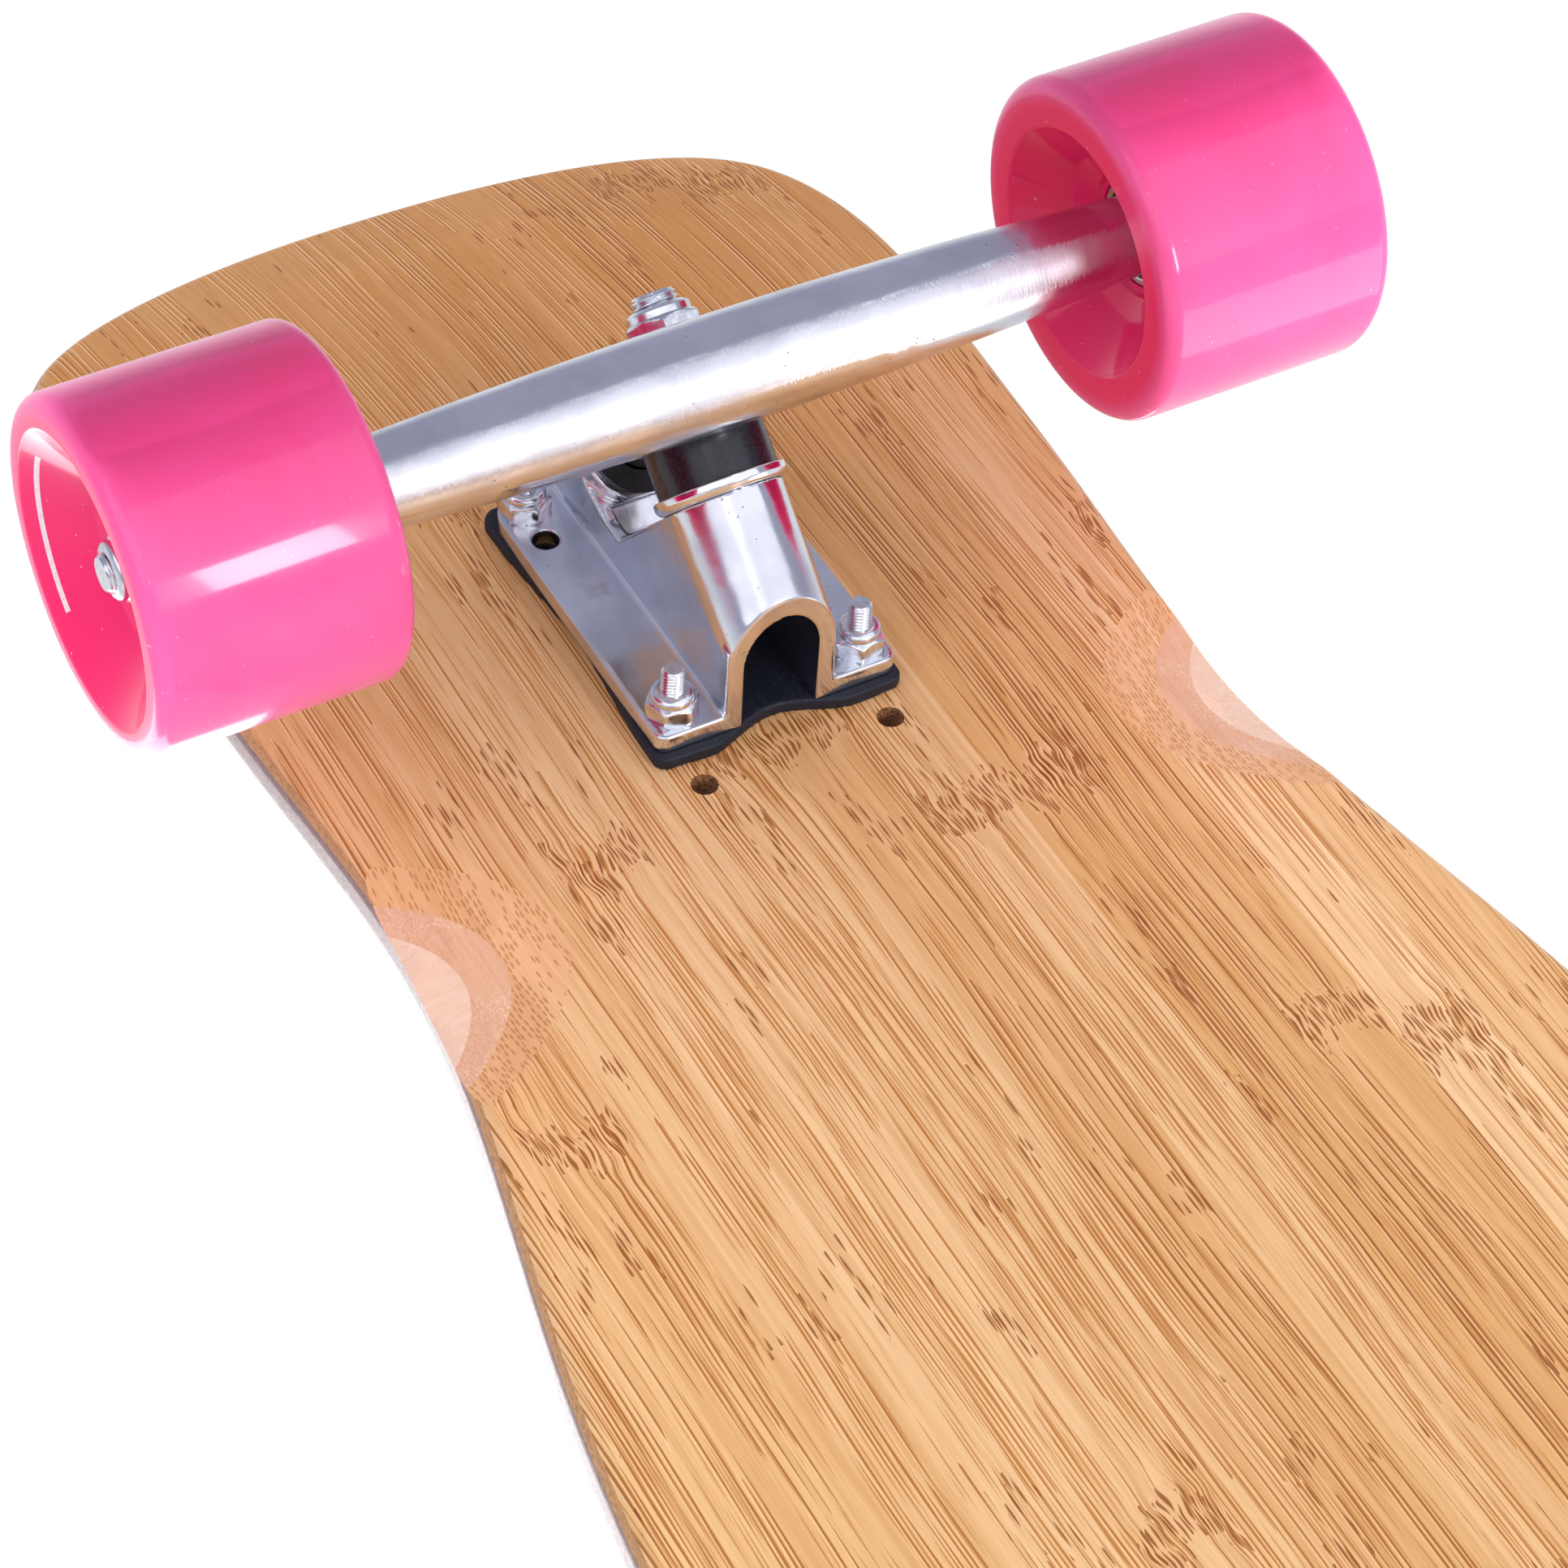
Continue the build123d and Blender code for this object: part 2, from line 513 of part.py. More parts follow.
def bearing_inner_rings():
    """Inner rings of the four bearings, each with its ball groove."""
    inner = ring(AXLE_RADIUS + BEARING_RING_WALL_INNER, AXLE_RADIUS, -BEARING_WIDTH / 2, BEARING_WIDTH / 2)
    inner -= Torus(BALL_PITCH_RADIUS, RACE_RADIUS)
    places = [WHEEL_CENTRE - BEARING_CENTRE, WHEEL_CENTRE + BEARING_CENTRE]
    return group([on_axle(Pos(0, 0, z) * inner, side) for side in (1, -1) for z in places])


def bearing_spacers():
    """Tubes that hold the two inner rings of each wheel apart."""
    tube = ring(SPACER_RADIUS, AXLE_RADIUS, -SPACER_LENGTH / 2, SPACER_LENGTH / 2)
    return group([on_axle(Pos(0, 0, WHEEL_CENTRE) * tube, side) for side in (1, -1)])


# ---- wheels, made about their own centre with +Z outwards --------------------------------------------
def recess_profile(mouth_radius, face):
    """Half section of one dished face, from the lip at the tread to the bearing seat."""
    sign = 1 if face > 0 else -1
    lip_start = (WHEEL_RADIUS, face - sign * WHEEL_LIP_RADIUS)
    lip_end = (WHEEL_RADIUS - WHEEL_LIP_RADIUS, face)
    points = [
        lip_end,
        (mouth_radius + 0.6, face),
        (mouth_radius - 0.8, face - sign * 1.2),
        (17.5, sign * 15.6),
        (12.9, sign * 13.2),
        (12.2, sign * 12.3),
        (BEARING_RADIUS, sign * 12.3),
        (BEARING_RADIUS, sign * SPACER_LENGTH / 2),
        (BEARING_RADIUS - BEARING_RING_WALL_OUTER, sign * SPACER_LENGTH / 2),
    ]
    return lip_start, lip_end, points


def tyre():
    """Urethane wheel with a dish on each side and a seat for each bearing."""
    out_start, out_end, out_points = recess_profile(OUTER_MOUTH_RADIUS, WHEEL_HALF_WIDTH)
    in_start, in_end, in_points = recess_profile(INNER_MOUTH_RADIUS, -WHEEL_HALF_WIDTH)
    section = [
        Line(in_start, out_start),
        RadiusArc(out_start, out_end, -WHEEL_LIP_RADIUS),
        *Polyline(*out_points).edges(),
        Line(out_points[-1], in_points[-1]),
        *Polyline(*in_points).edges(),
        RadiusArc(in_start, in_end, WHEEL_LIP_RADIUS),
    ]
    return revolve(Plane.XZ * make_face(section), Axis.Z)


def both_bearings(part):
    """The part repeated in the wheel's two bearings."""
    return group([Pos(0, 0, z) * part for z in (-BEARING_CENTRE, BEARING_CENTRE)])


def bearing_outer_rings():
    outer = ring(BEARING_RADIUS, BEARING_RADIUS - BEARING_RING_WALL_OUTER, -BEARING_WIDTH / 2, BEARING_WIDTH / 2)
    return both_bearings(outer - Torus(BALL_PITCH_RADIUS, RACE_RADIUS))


def bearing_seals():
    """Rubber seals on both faces of each bearing, held by the outer ring."""
    inner_radius = AXLE_RADIUS + BEARING_RING_WALL_INNER + 0.25
    seal = ring(BEARING_RADIUS - BEARING_RING_WALL_OUTER, inner_radius, 0, SEAL_THICK)
    edge = BEARING_WIDTH / 2 - 0.1
    return both_bearings(group([Pos(0, 0, z) * seal for z in (-edge, edge - SEAL_THICK)]))


def bearing_balls():
    ball = Pos(BALL_PITCH_RADIUS, 0, 0) * Sphere(BALL_RADIUS)
    return both_bearings(group([Rot(0, 0, i * 360 / BALL_COUNT) * ball for i in range(BALL_COUNT)]))


def bearing_cages():
    """Cages that keep the balls apart."""
    cage = ring(BALL_PITCH_RADIUS + 0.45, BALL_PITCH_RADIUS - 0.45, -CAGE_HALF_WIDTH, CAGE_HALF_WIDTH)
    pocket = Rot(0, 90, 0) * Cylinder(BALL_RADIUS + 0.08, 30, align=(Align.CENTER, Align.CENTER, Align.MIN))
    cage -= [Rot(0, 0, i * 360 / BALL_COUNT) * pocket for i in range(BALL_COUNT)]
    return both_bearings(cage)


# ---- write every node --------------------------------------------------------------------------------
TRUCK_PARTS = [
    riser_pad,
    baseplate,
    pivot_cup,
    kingpin,
    kingpin_nut,
    cup_washers,
    bushing_boardside,
    bushing_roadside,
    mounting_screws,
    mounting_nuts,
    hanger,
    axle,
    axle_nuts,
    speed_rings,
    bearing_inner_rings,
    bearing_spacers,
]
WHEEL_PARTS = [tyre, bearing_outer_rings, bearing_seals, bearing_balls, bearing_cages]

build_deck()
for make in TRUCK_PARTS:
    part = make()
    for end, place in TRUCKS.items():
        write(f"{end}_{make.__name__}", place * part)
for make in WHEEL_PARTS:
    part = make()
    for end, place in TRUCKS.items():
        for side_name, side in (("left", 1), ("right", -1)):
            # The rear truck is turned half round, so its own left side is on the board's right.
            own_side = side if end == "front" else -side
            wheel = on_axle(Pos(0, 0, WHEEL_CENTRE) * part, own_side)
            write(f"{end}_{side_name}_{make.__name__}", place * wheel)
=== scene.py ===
import json
import math

import bmesh
import bpy
import numpy as np
from mathutils import Matrix, Vector

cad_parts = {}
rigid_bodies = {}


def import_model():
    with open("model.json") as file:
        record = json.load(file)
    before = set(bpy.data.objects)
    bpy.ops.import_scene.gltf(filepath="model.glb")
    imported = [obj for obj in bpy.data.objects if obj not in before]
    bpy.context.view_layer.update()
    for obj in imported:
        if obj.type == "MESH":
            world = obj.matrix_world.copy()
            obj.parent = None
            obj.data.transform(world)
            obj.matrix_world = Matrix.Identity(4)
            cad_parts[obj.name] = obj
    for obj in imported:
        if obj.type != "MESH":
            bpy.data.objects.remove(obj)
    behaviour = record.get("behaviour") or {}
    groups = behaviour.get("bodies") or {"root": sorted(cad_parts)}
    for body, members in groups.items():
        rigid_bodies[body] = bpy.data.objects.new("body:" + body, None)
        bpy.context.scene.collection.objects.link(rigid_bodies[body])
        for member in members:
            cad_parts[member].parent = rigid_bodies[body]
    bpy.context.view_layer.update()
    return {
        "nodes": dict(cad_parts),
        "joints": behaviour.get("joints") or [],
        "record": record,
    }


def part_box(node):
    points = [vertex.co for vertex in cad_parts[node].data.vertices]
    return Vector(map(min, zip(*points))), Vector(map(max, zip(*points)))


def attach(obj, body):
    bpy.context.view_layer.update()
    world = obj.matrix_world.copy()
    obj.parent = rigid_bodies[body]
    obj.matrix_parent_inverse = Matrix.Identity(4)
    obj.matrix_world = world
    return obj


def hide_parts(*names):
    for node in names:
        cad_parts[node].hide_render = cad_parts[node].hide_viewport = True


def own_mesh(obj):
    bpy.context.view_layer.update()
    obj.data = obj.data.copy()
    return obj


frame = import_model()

MM = 0.001
STAY = Matrix.Identity(4)
ENDS = ("front", "rear")
SIDES = {"left": 1, "right": -1}

# ---- places, from the frame ----------------------------------------------------------------------------
JOINTS = {j["name"]: j for j in frame["joints"]}
MOUNTS = {m["name"]: m for m in frame["record"]["mounts"]}


def centre(node):
    low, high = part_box(node)
    return (low + high) / 2


AXLE_AT = centre("front_axle")
AXLE_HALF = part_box("front_axle")[1].y / MM
RING_AT = Vector(JOINTS["front_steering"]["pos_m"])
STEER_DIR = Vector(JOINTS["front_steering"]["axis"])
KINGPIN_DIR = Vector((STEER_DIR.z, 0, -STEER_DIR.x))
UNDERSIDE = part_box("front_riser_pad")[1].z / MM
PLATE_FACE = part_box("front_mounting_nuts")[1].z
WHEEL_AT = {(e, s): centre(f"{e}_{s}_bearing_outer_rings") for e in ENDS for s in SIDES}
WHEEL_RADIUS = (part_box("front_left_tyre")[1].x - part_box("front_left_tyre")[0].x) / 2 / MM
WHEEL_HALF = (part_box("front_left_tyre")[1].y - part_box("front_left_tyre")[0].y) / 2 / MM
HANGER_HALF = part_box("front_hanger")[1].y / MM


def end_turn(end):
    """The rear truck is the front truck turned half round."""
    return Matrix.Rotation(0 if end == "front" else math.pi, 4, "Z")


def axes_at(origin, z_axis):
    """Matrix with its Z along the given direction and its X across the board."""
    z_axis = z_axis.normalized()
    x_axis = Vector((0, 1, 0))
    y_axis = z_axis.cross(x_axis)
    return Matrix.Translation(origin) @ Matrix((x_axis, y_axis, z_axis)).transposed().to_4x4()


def kingpin_frame(end):
    """Z along the kingpin, away from the deck, with its zero on the tower's seat."""
    seat = RING_AT - KINGPIN_DIR.normalized() * RING_FROM_SEAT * MM
    return end_turn(end) @ axes_at(seat, KINGPIN_DIR)


def wheel_frame(end, side):
    """Z along the axle, outwards, with its zero in the middle of the wheel."""
    out = Matrix.Rotation(-SIDES[side] * math.pi / 2, 4, "X")
    return Matrix.Translation(WHEEL_AT[end, side]) @ out


# ---- sizes that the solids share, in millimetres -------------------------------------------------------
RING_FROM_SEAT = 17.5
DECK_NODES = ["deck_bamboo_bottom"] + [f"deck_maple_ply_{k}" for k in (1, 2, 3, 4)]
DECK_NODES += ["deck_bamboo_top", "grip_tape"]
PLY_BOTTOMS = [round(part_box(node)[0].z / MM - UNDERSIDE, 1) for node in DECK_NODES]
DECK_THICK = PLY_BOTTOMS[-1]
TAPE_THICK = 0.8
DECK_LAYERS = list(zip(DECK_NODES, PLY_BOTTOMS, PLY_BOTTOMS[1:] + [DECK_THICK + TAPE_THICK]))
RIM_LOW_RADIUS = 4.2
RIM_HIGH_RADIUS = 2.6
TAPE_INSET = 3.1
KICK_START = 395.0
KICK_RADIUS = 329.2
FLAT_HALF = 28.0
CONCAVE_RADIUS = 638.0
WELL_X, WELL_Y = 285.0, 89.8
WELL_HEIGHT = 8.4
WELL_SLOPE = 15.0
WELL_RADIUS = 99.0
HOLE_RADIUS = 2.75
HEAD_RADIUS = 4.95
HEAD_DEPTH = 2.7
SCREW_RADIUS = 2.4
KINGPIN_RADIUS = 4.76
BALL_CIRCLE = 7.78
FINE_PITCH = 1.06

# ---- materials -----------------------------------------------------------------------------------------


class Nodes:
    """Short names for building a material's nodes. Distances in the materials are millimetres."""

    def __init__(self, name):
        self.material = bpy.data.materials.new(name)
        self.material.use_nodes = True
        self.tree = self.material.node_tree
        self.shader = self.tree.nodes["Principled BSDF"]
        place = self.tree.nodes.new("ShaderNodeTexCoord")
        self.place = self.vector("SCALE", place.outputs["Object"], scale=1000.0)

    def link(self, value, socket):
        if isinstance(value, bpy.types.NodeSocket):
            self.tree.links.new(value, socket)
        else:
            socket.default_value = value

    def vector(self, operation, first, second=None, scale=None):
        node = self.tree.nodes.new("ShaderNodeVectorMath")
        node.operation = operation
        self.link(first, node.inputs[0])
        if second is not None:
            self.link(second, node.inputs[1])
        if scale is not None:
            node.inputs["Scale"].default_value = scale
        return node.outputs["Value" if operation == "LENGTH" else "Vector"]

    def math(self, operation, first, second=0.0, third=0.0):
        node = self.tree.nodes.new("ShaderNodeMath")
        node.operation = operation
        for value, socket in zip((first, second, third), node.inputs):
            self.link(value, socket)
        return node.outputs[0]

    def times(self, first, second):
        return self.math("MULTIPLY", first, second)

    def over(self, first, second):
        return self.math("DIVIDE", first, second)

    def plus(self, first, second):
        return self.math("ADD", first, second)

    def less(self, first, second):
        return self.math("SUBTRACT", first, second)

    def times_plus(self, first, second, third):
        return self.math("MULTIPLY_ADD", first, second, third)

    def size_of(self, value):
        return self.math("ABSOLUTE", value)

    def split(self, vector):
        node = self.tree.nodes.new("ShaderNodeSeparateXYZ")
        self.link(vector, node.inputs[0])
        return node.outputs

    def join(self, x, y, z=0.0):
        node = self.tree.nodes.new("ShaderNodeCombineXYZ")
        for value, socket in zip((x, y, z), node.inputs):
            self.link(value, socket)
        return node.outputs[0]

    def stretch(self, scales):
        """The place with each axis multiplied, so that noise on it becomes grain or flecks."""
        return self.vector("MULTIPLY", self.place, scales)

    def noise(self, vector, scale=1.0, detail=3.0, rough=0.55, distortion=0.0):
        node = self.tree.nodes.new("ShaderNodeTexNoise")
        self.link(vector, node.inputs["Vector"])
        node.inputs["Scale"].default_value = scale
        node.inputs["Detail"].default_value = detail
        node.inputs["Roughness"].default_value = rough
        node.inputs["Distortion"].default_value = distortion
        return node.outputs["Fac"]

    def random(self, value):
        node = self.tree.nodes.new("ShaderNodeTexWhiteNoise")
        node.noise_dimensions = "1D"
        self.link(value, node.inputs["W"])
        return node.outputs["Value"]

    def cells(self, vector, scale):
        node = self.tree.nodes.new("ShaderNodeTexVoronoi")
        self.link(vector, node.inputs["Vector"])
        node.inputs["Scale"].default_value = scale
        return node.outputs["Distance"]

    def strokes(self, x, y, length, pitch, half_width, chance, seed):
        """Fine tapered strokes along X, one to a cell, where the cell's random number is under the chance."""
        blur = 0.06
        row = self.math("FLOOR", self.over(y, pitch))
        start = self.times(self.random(self.plus(row, seed)), 7.0)
        along = self.plus(self.over(x, length), start)
        cell = self.times_plus(self.math("FLOOR", along), 5.713, self.times(row, 17.31))
        drawn = self.math("LESS_THAN", self.random(self.plus(cell, seed)), chance)
        aside = self.times_plus(self.random(self.plus(cell, seed + 3.7)), 0.5, 0.25)
        in_row = self.math("FRACT", self.over(y, pitch))
        across = self.times(self.size_of(self.less(in_row, aside)), pitch)
        from_middle = self.times_plus(self.math("FRACT", along), 2.0, -1.0)
        taper = self.less(1.0, self.times(from_middle, from_middle))
        width = self.times(taper, half_width)
        ink = self.band(across, self.plus(width, blur), self.less(width, blur))
        return self.times(ink, drawn)

    def band(self, value, low, high, to_low=0.0, to_high=1.0):
        """Smooth step of a value between two limits."""
        node = self.tree.nodes.new("ShaderNodeMapRange")
        node.interpolation_type = "SMOOTHSTEP"
        for new, socket in zip((value, low, high, to_low, to_high), node.inputs):
            self.link(new, socket)
        return node.outputs[0]

    def mix(self, amount, first, second):
        node = self.tree.nodes.new("ShaderNodeMix")
        node.data_type = "RGBA"
        self.link(amount, node.inputs["Factor"])
        self.link(first, node.inputs["A"])
        self.link(second, node.inputs["B"])
        return node.outputs["Result"]

    def bump(self, height, distance, strength=1.0):
        """Surface relief of a given depth in millimetres."""
        node = self.tree.nodes.new("ShaderNodeBump")
        node.inputs["Strength"].default_value = strength
        node.inputs["Distance"].default_value = distance * MM
        self.link(height, node.inputs["Height"])
        self.tree.links.new(node.outputs[0], self.shader.inputs["Normal"])

    def finish(self, color, roughness, **constants):
        """Sets the shader's sockets: colour and roughness may vary, the rest are the same all over."""
        self.link(color, self.shader.inputs["Base Color"])
        self.link(roughness, self.shader.inputs["Roughness"])
        for name, value in constants.items():
            self.shader.inputs[name.replace("_", " ")].default_value = value
        return self.material


def rgb(red, green, blue):
    return (red, green, blue, 1.0)


def bamboo(name, sanded=False):
    """Lengthwise bamboo strips with knuckles and fibres. Where it is sanded across, short pore ends show."""
    strip_width, knuckle_pitch = 17.5, 285.0
    n = Nodes(name)
    x, y, z = n.split(n.place)
    strip = n.math("FLOOR", n.over(n.plus(y, 4.0), strip_width))
    tone, shift = n.random(strip), n.random(n.plus(strip, 57.3))

    # Knuckles: one about every internode, at its own place in each strip. Fibres bend round them.
    along = n.times_plus(shift, 3.7, n.over(x, knuckle_pitch))
    distance = n.times(n.less(n.math("FRACT", along), 0.5), knuckle_pitch)
    skew = n.times(n.less(n.noise(n.stretch((0.01, 0.13, 0)), detail=1.0), 0.5), 26.0)
    distance = n.size_of(n.plus(distance, skew))
    near, core = n.band(distance, 17.0, 2.0), n.band(distance, 8.0, 3.0)
    wave = n.less(n.noise(n.stretch((0.07, 0.12, 0)), detail=1.5), 0.5)
    drift = n.less(n.noise(n.stretch((0.009, 0.03, 0)), detail=1.0), 0.5)
    bent = n.times_plus(n.times(wave, near), 5.0, n.times_plus(drift, 5.0, y))

    # Fibres come in clusters, pores gather at the knuckles.
    cluster = n.noise(n.stretch((0.008, 0.11, 0)), detail=2.0)
    busy = n.band(cluster, 0.36, 0.64, 0.14, 0.9)
    long_fibres = n.strokes(x, bent, 62.0, 1.05, 0.23, busy, 3.1)
    fibres = n.strokes(x, bent, 24.0, 0.80, 0.18, n.times(busy, 0.85), 9.4)
    patch = n.band(n.noise(n.stretch((0.03, 0.07, 0)), detail=1.0), 0.58, 0.68, 0.0, 0.34)
    pore_chance = n.math("MAXIMUM", patch, n.times(core, 0.95))
    pores = n.strokes(x, bent, 6.5, 0.95, 0.25, pore_chance, 15.8)
    # Painted highlight: a thin pale stroke beside each long fibre stands in for a glint on the varnish.
    painted_glint = n.strokes(x, n.plus(bent, 0.42), 62.0, 1.05, 0.14, busy, 3.1)
    streak = n.noise(n.join(n.over(x, 130.0), n.times(bent, 0.55), tone), detail=3.0)
    grain = n.noise(n.join(n.over(x, 12.0), n.times(bent, 3.0), tone), detail=2.0)

    light, mid = rgb(0.91, 0.66, 0.38), rgb(0.76, 0.47, 0.205)
    amber, deep = rgb(0.48, 0.18, 0.022), rgb(0.27, 0.075, 0.006)
    color = n.mix(n.math("POWER", tone, 0.8), light, mid)
    color = n.mix(n.band(streak, 0.35, 0.7, 0.0, 0.5), color, rgb(0.60, 0.30, 0.10))
    color = n.mix(n.band(grain, 0.4, 0.7, 0.0, 0.16), color, amber)
    color = n.mix(n.times(core, 0.5), color, rgb(0.84, 0.53, 0.27))
    # Painted shade: from 255 mm out towards both ends, the bamboo darkens to deep amber where the kicked ends
    # turn away from the light.
    painted_end_shade = n.band(n.size_of(x), 255.0, 480.0, 0.0, 0.78)
    color = n.mix(painted_end_shade, color, rgb(0.46, 0.175, 0.022))
    if sanded:
        color = n.mix(0.35, color, rgb(0.86, 0.50, 0.27))
        dots = n.strokes(x, bent, 2.3, 0.85, 0.20, n.band(cluster, 0.3, 0.6, 0.3, 0.8), 21.5)
        color = n.mix(n.times(dots, 0.62), color, rgb(0.44, 0.17, 0.035))
        relief = n.less(0.0, dots)
    else:
        # The painted varnish glints go into the colour here.
        color = n.mix(n.times(painted_glint, 0.5), color, rgb(0.95, 0.68, 0.40))
        color = n.mix(n.times(fibres, 0.62), color, amber)
        color = n.mix(n.times(long_fibres, 0.85), color, n.mix(tone, amber, deep))
        color = n.mix(n.times(pores, 0.85), color, deep)
        relief = n.less(0.0, n.math("MAXIMUM", long_fibres, pores))
    n.bump(relief, 0.06, 0.5)
    rough = n.band(grain, 0.3, 0.8, 0.36, 0.5)
    return n.finish(color, rough, Coat_Weight=0.08, Coat_Roughness=0.22, Specular_IOR_Level=0.28)


def maple(name, cross, base, dark):
    """Thin maple veneer: grain along the board, or across it in a cross ply, with a fine painted sparkle of
    pale flecks.
    """
    n = Nodes(name)
    grain = (0.9, 0.03, 0.9) if cross else (0.03, 0.9, 0.9)
    rings = n.noise(n.stretch(grain), detail=4.0, distortion=0.3)
    pores = n.noise(n.stretch((2.6, 0.9, 2.6) if cross else (0.9, 2.6, 2.6)), scale=1.2, detail=3.0)
    painted_sparkle_patches = n.noise(n.stretch((0.05, 0.05, 0.05)), detail=1.0)
    color = n.mix(n.band(rings, 0.35, 0.7, 0.0, 0.6), base, dark)
    # Painted highlight: pale flecks in the pores, stronger in broad patches, stand in for sparkle.
    painted_sparkle = n.band(pores, 0.5, 0.62, 0.0, n.band(painted_sparkle_patches, 0.4, 0.6, 0.1, 0.55))
    color = n.mix(painted_sparkle, color, rgb(0.97, 0.80, 0.66))
    color = n.mix(n.band(pores, 0.45, 0.36, 0.0, 0.35), color, dark)
    n.bump(pores, 0.05, 0.4)
    return n.finish(color, n.band(pores, 0.3, 0.7, 0.4, 0.55), Coat_Weight=0.2, Coat_Roughness=0.25)


def ply_edge(name, base):
    """Sealed end grain on the rim of a ply: short dark pores under dull lacquer."""
    n = Nodes(name)
    pores = n.noise(n.stretch((0.7, 0.7, 2.5)), detail=3.0)
    color = n.mix(n.band(pores, 0.4, 0.65), base, tuple(c * 0.72 for c in base[:3]) + (1.0,))
    n.bump(pores, 0.04, 0.4)
    return n.finish(color, n.band(pores, 0.3, 0.7, 0.4, 0.55), Coat_Weight=0.3, Coat_Roughness=0.2)


def grip():
    """Mineral grit on black cloth, with lighter grey patches painted in as glints."""
    n = Nodes("grip_grit")
    grains = n.cells(n.place, 1.6)
    painted_glint = n.noise(n.place, scale=1.1, detail=2.0)
    # Painted highlight: where the glint noise is high, the grit turns lighter grey.
    color = n.mix(n.band(painted_glint, 0.5, 0.75), rgb(0.012, 0.012, 0.013), rgb(0.075, 0.075, 0.08))
    n.bump(n.less(1.0, grains), 0.45, 0.9)
    return n.finish(color, n.band(painted_glint, 0.4, 0.7, 0.9, 0.55), Specular_IOR_Level=0.45)


def raw_wood():
    """Wall of a drilled hole: torn, darker fibres."""
    n = Nodes("drilled_wood")
    torn = n.noise(n.stretch((1.4, 1.4, 2.2)), detail=4.0)
    color = n.mix(n.band(torn, 0.35, 0.65), rgb(0.10, 0.035, 0.012), rgb(0.42, 0.2, 0.085))
    n.bump(torn, 0.2, 0.8)
    return n.finish(color, n.band(torn, 0.3, 0.7, 0.7, 0.95))


def urethane():
    """Glossy cast urethane, slightly milky, with faint swirls, turning rings on its faces and dust. Its faces
    and hub recess carry a deeper pink as painted shade.
    """
    n = Nodes("pink_urethane")
    x, y, z = n.split(n.place)
    radius = n.vector("LENGTH", n.join(x, y, 0.0))
    swirl = n.noise(n.stretch((0.03, 0.03, 0.05)), detail=2.0, distortion=0.8)
    # Painted shade: from the tread inwards, over the faces, dish and recess, the pink turns deeper.
    deep = n.band(radius, 34.6, 29.0)
    color = n.mix(n.band(swirl, 0.3, 0.7, 0.0, 0.5), rgb(1.0, 0.130, 0.42), rgb(1.0, 0.160, 0.50))
    color = n.mix(deep, color, rgb(0.95, 0.018, 0.165))
    dust = n.noise(n.place, scale=0.85, detail=1.0)
    color = n.mix(n.band(dust, 0.76, 0.8, 0.0, 0.5), color, rgb(1.0, 0.55, 0.72))
    on_face = n.band(n.size_of(z), WHEEL_HALF - 1.0, WHEEL_HALF - 0.1)
    rings = n.noise(n.join(n.times(radius, 2.2), 0.0, 0.0), detail=1.0)
    n.bump(n.times(rings, on_face), 0.12, 0.5)
    rough = n.plus(n.band(swirl, 0.3, 0.7, 0.16, 0.24), n.times(on_face, 0.12))
    return n.finish(color, rough, Subsurface_Weight=0.12, Subsurface_Scale=0.004,
                    Subsurface_Radius=(1.0, 0.25, 0.4), Coat_Weight=0.45, Coat_Roughness=0.06,
                    Specular_IOR_Level=0.25)


def stripe_paint():
    """Worn white paint of the arcs on the dish of the wheel."""
    n = Nodes("stripe_paint")
    worn = n.noise(n.place, scale=1.5, detail=2.0)
    color = n.mix(n.band(worn, 0.4, 0.62, 0.0, 0.35), rgb(0.92, 0.86, 0.9), rgb(0.98, 0.35, 0.55))
    return n.finish(color, n.band(worn, 0.3, 0.7, 0.3, 0.45))


def cast_metal(name, brushed):
    """Polished cast aluminium: shallow waves and small pits, and a ground, scratched band if brushed."""
    n = Nodes(name)
    x, y, z = n.split(n.place)
    waves = n.noise(n.place, scale=0.09, detail=2.0)
    fine = n.noise(n.place, scale=0.9, detail=3.0)
    pits = n.cells(n.place, 0.42)
    pit = n.times(n.band(pits, 0.13, 0.06), n.band(waves, 0.5, 0.62))
    cloud = n.noise(n.place, scale=0.05, detail=3.0)
    color = n.mix(n.band(cloud, 0.35, 0.7), rgb(0.80, 0.81, 0.86), rgb(0.66, 0.67, 0.73))
    color = n.mix(n.times(pit, 0.7), color, rgb(0.2, 0.2, 0.22))
    rough = n.band(cloud, 0.3, 0.7, 0.13, 0.26)
    height = n.times_plus(waves, 2.2, n.times(fine, 0.10))
    height = n.less(height, n.times(pit, 0.8))
    if brushed:
        around = n.math("ARCTAN2", n.less(z, AXLE_AT.z / MM),
                        n.less(n.size_of(x), AXLE_AT.x / MM))
        scratch = n.noise(n.join(n.times(y, 2.6), n.times(around, 1.6), 0.0),
                          detail=5.0, rough=0.75)
        ragged = n.times_plus(scratch, 0.5, around)
        ground = n.times(n.band(ragged, -1.75, -1.95), n.band(ragged, -2.75, -2.4))
        rough = n.times_plus(ground, 0.2, rough)
        height = n.plus(height, n.times(n.times(scratch, ground), 0.5))
        color = n.mix(n.times(n.band(scratch, 0.5, 0.8), n.times(ground, 0.6)),
                      color, rgb(0.95, 0.95, 0.97))
    n.bump(height, 0.22, 0.55)
    return n.finish(color, rough, Metallic=1.0)


def plated(name, base, dark, roughness):
    """Bright plating with a faint mottled film."""
    n = Nodes(name)
    film = n.noise(n.place, scale=0.5, detail=3.0)
    marks = n.noise(n.stretch((2.0, 0.3, 2.0)), detail=3.0)
    color = n.mix(n.band(film, 0.35, 0.7), base, dark)
    n.bump(marks, 0.03, 0.4)
    return n.finish(color, n.band(film, 0.3, 0.7, roughness, roughness + 0.12), Metallic=1.0)


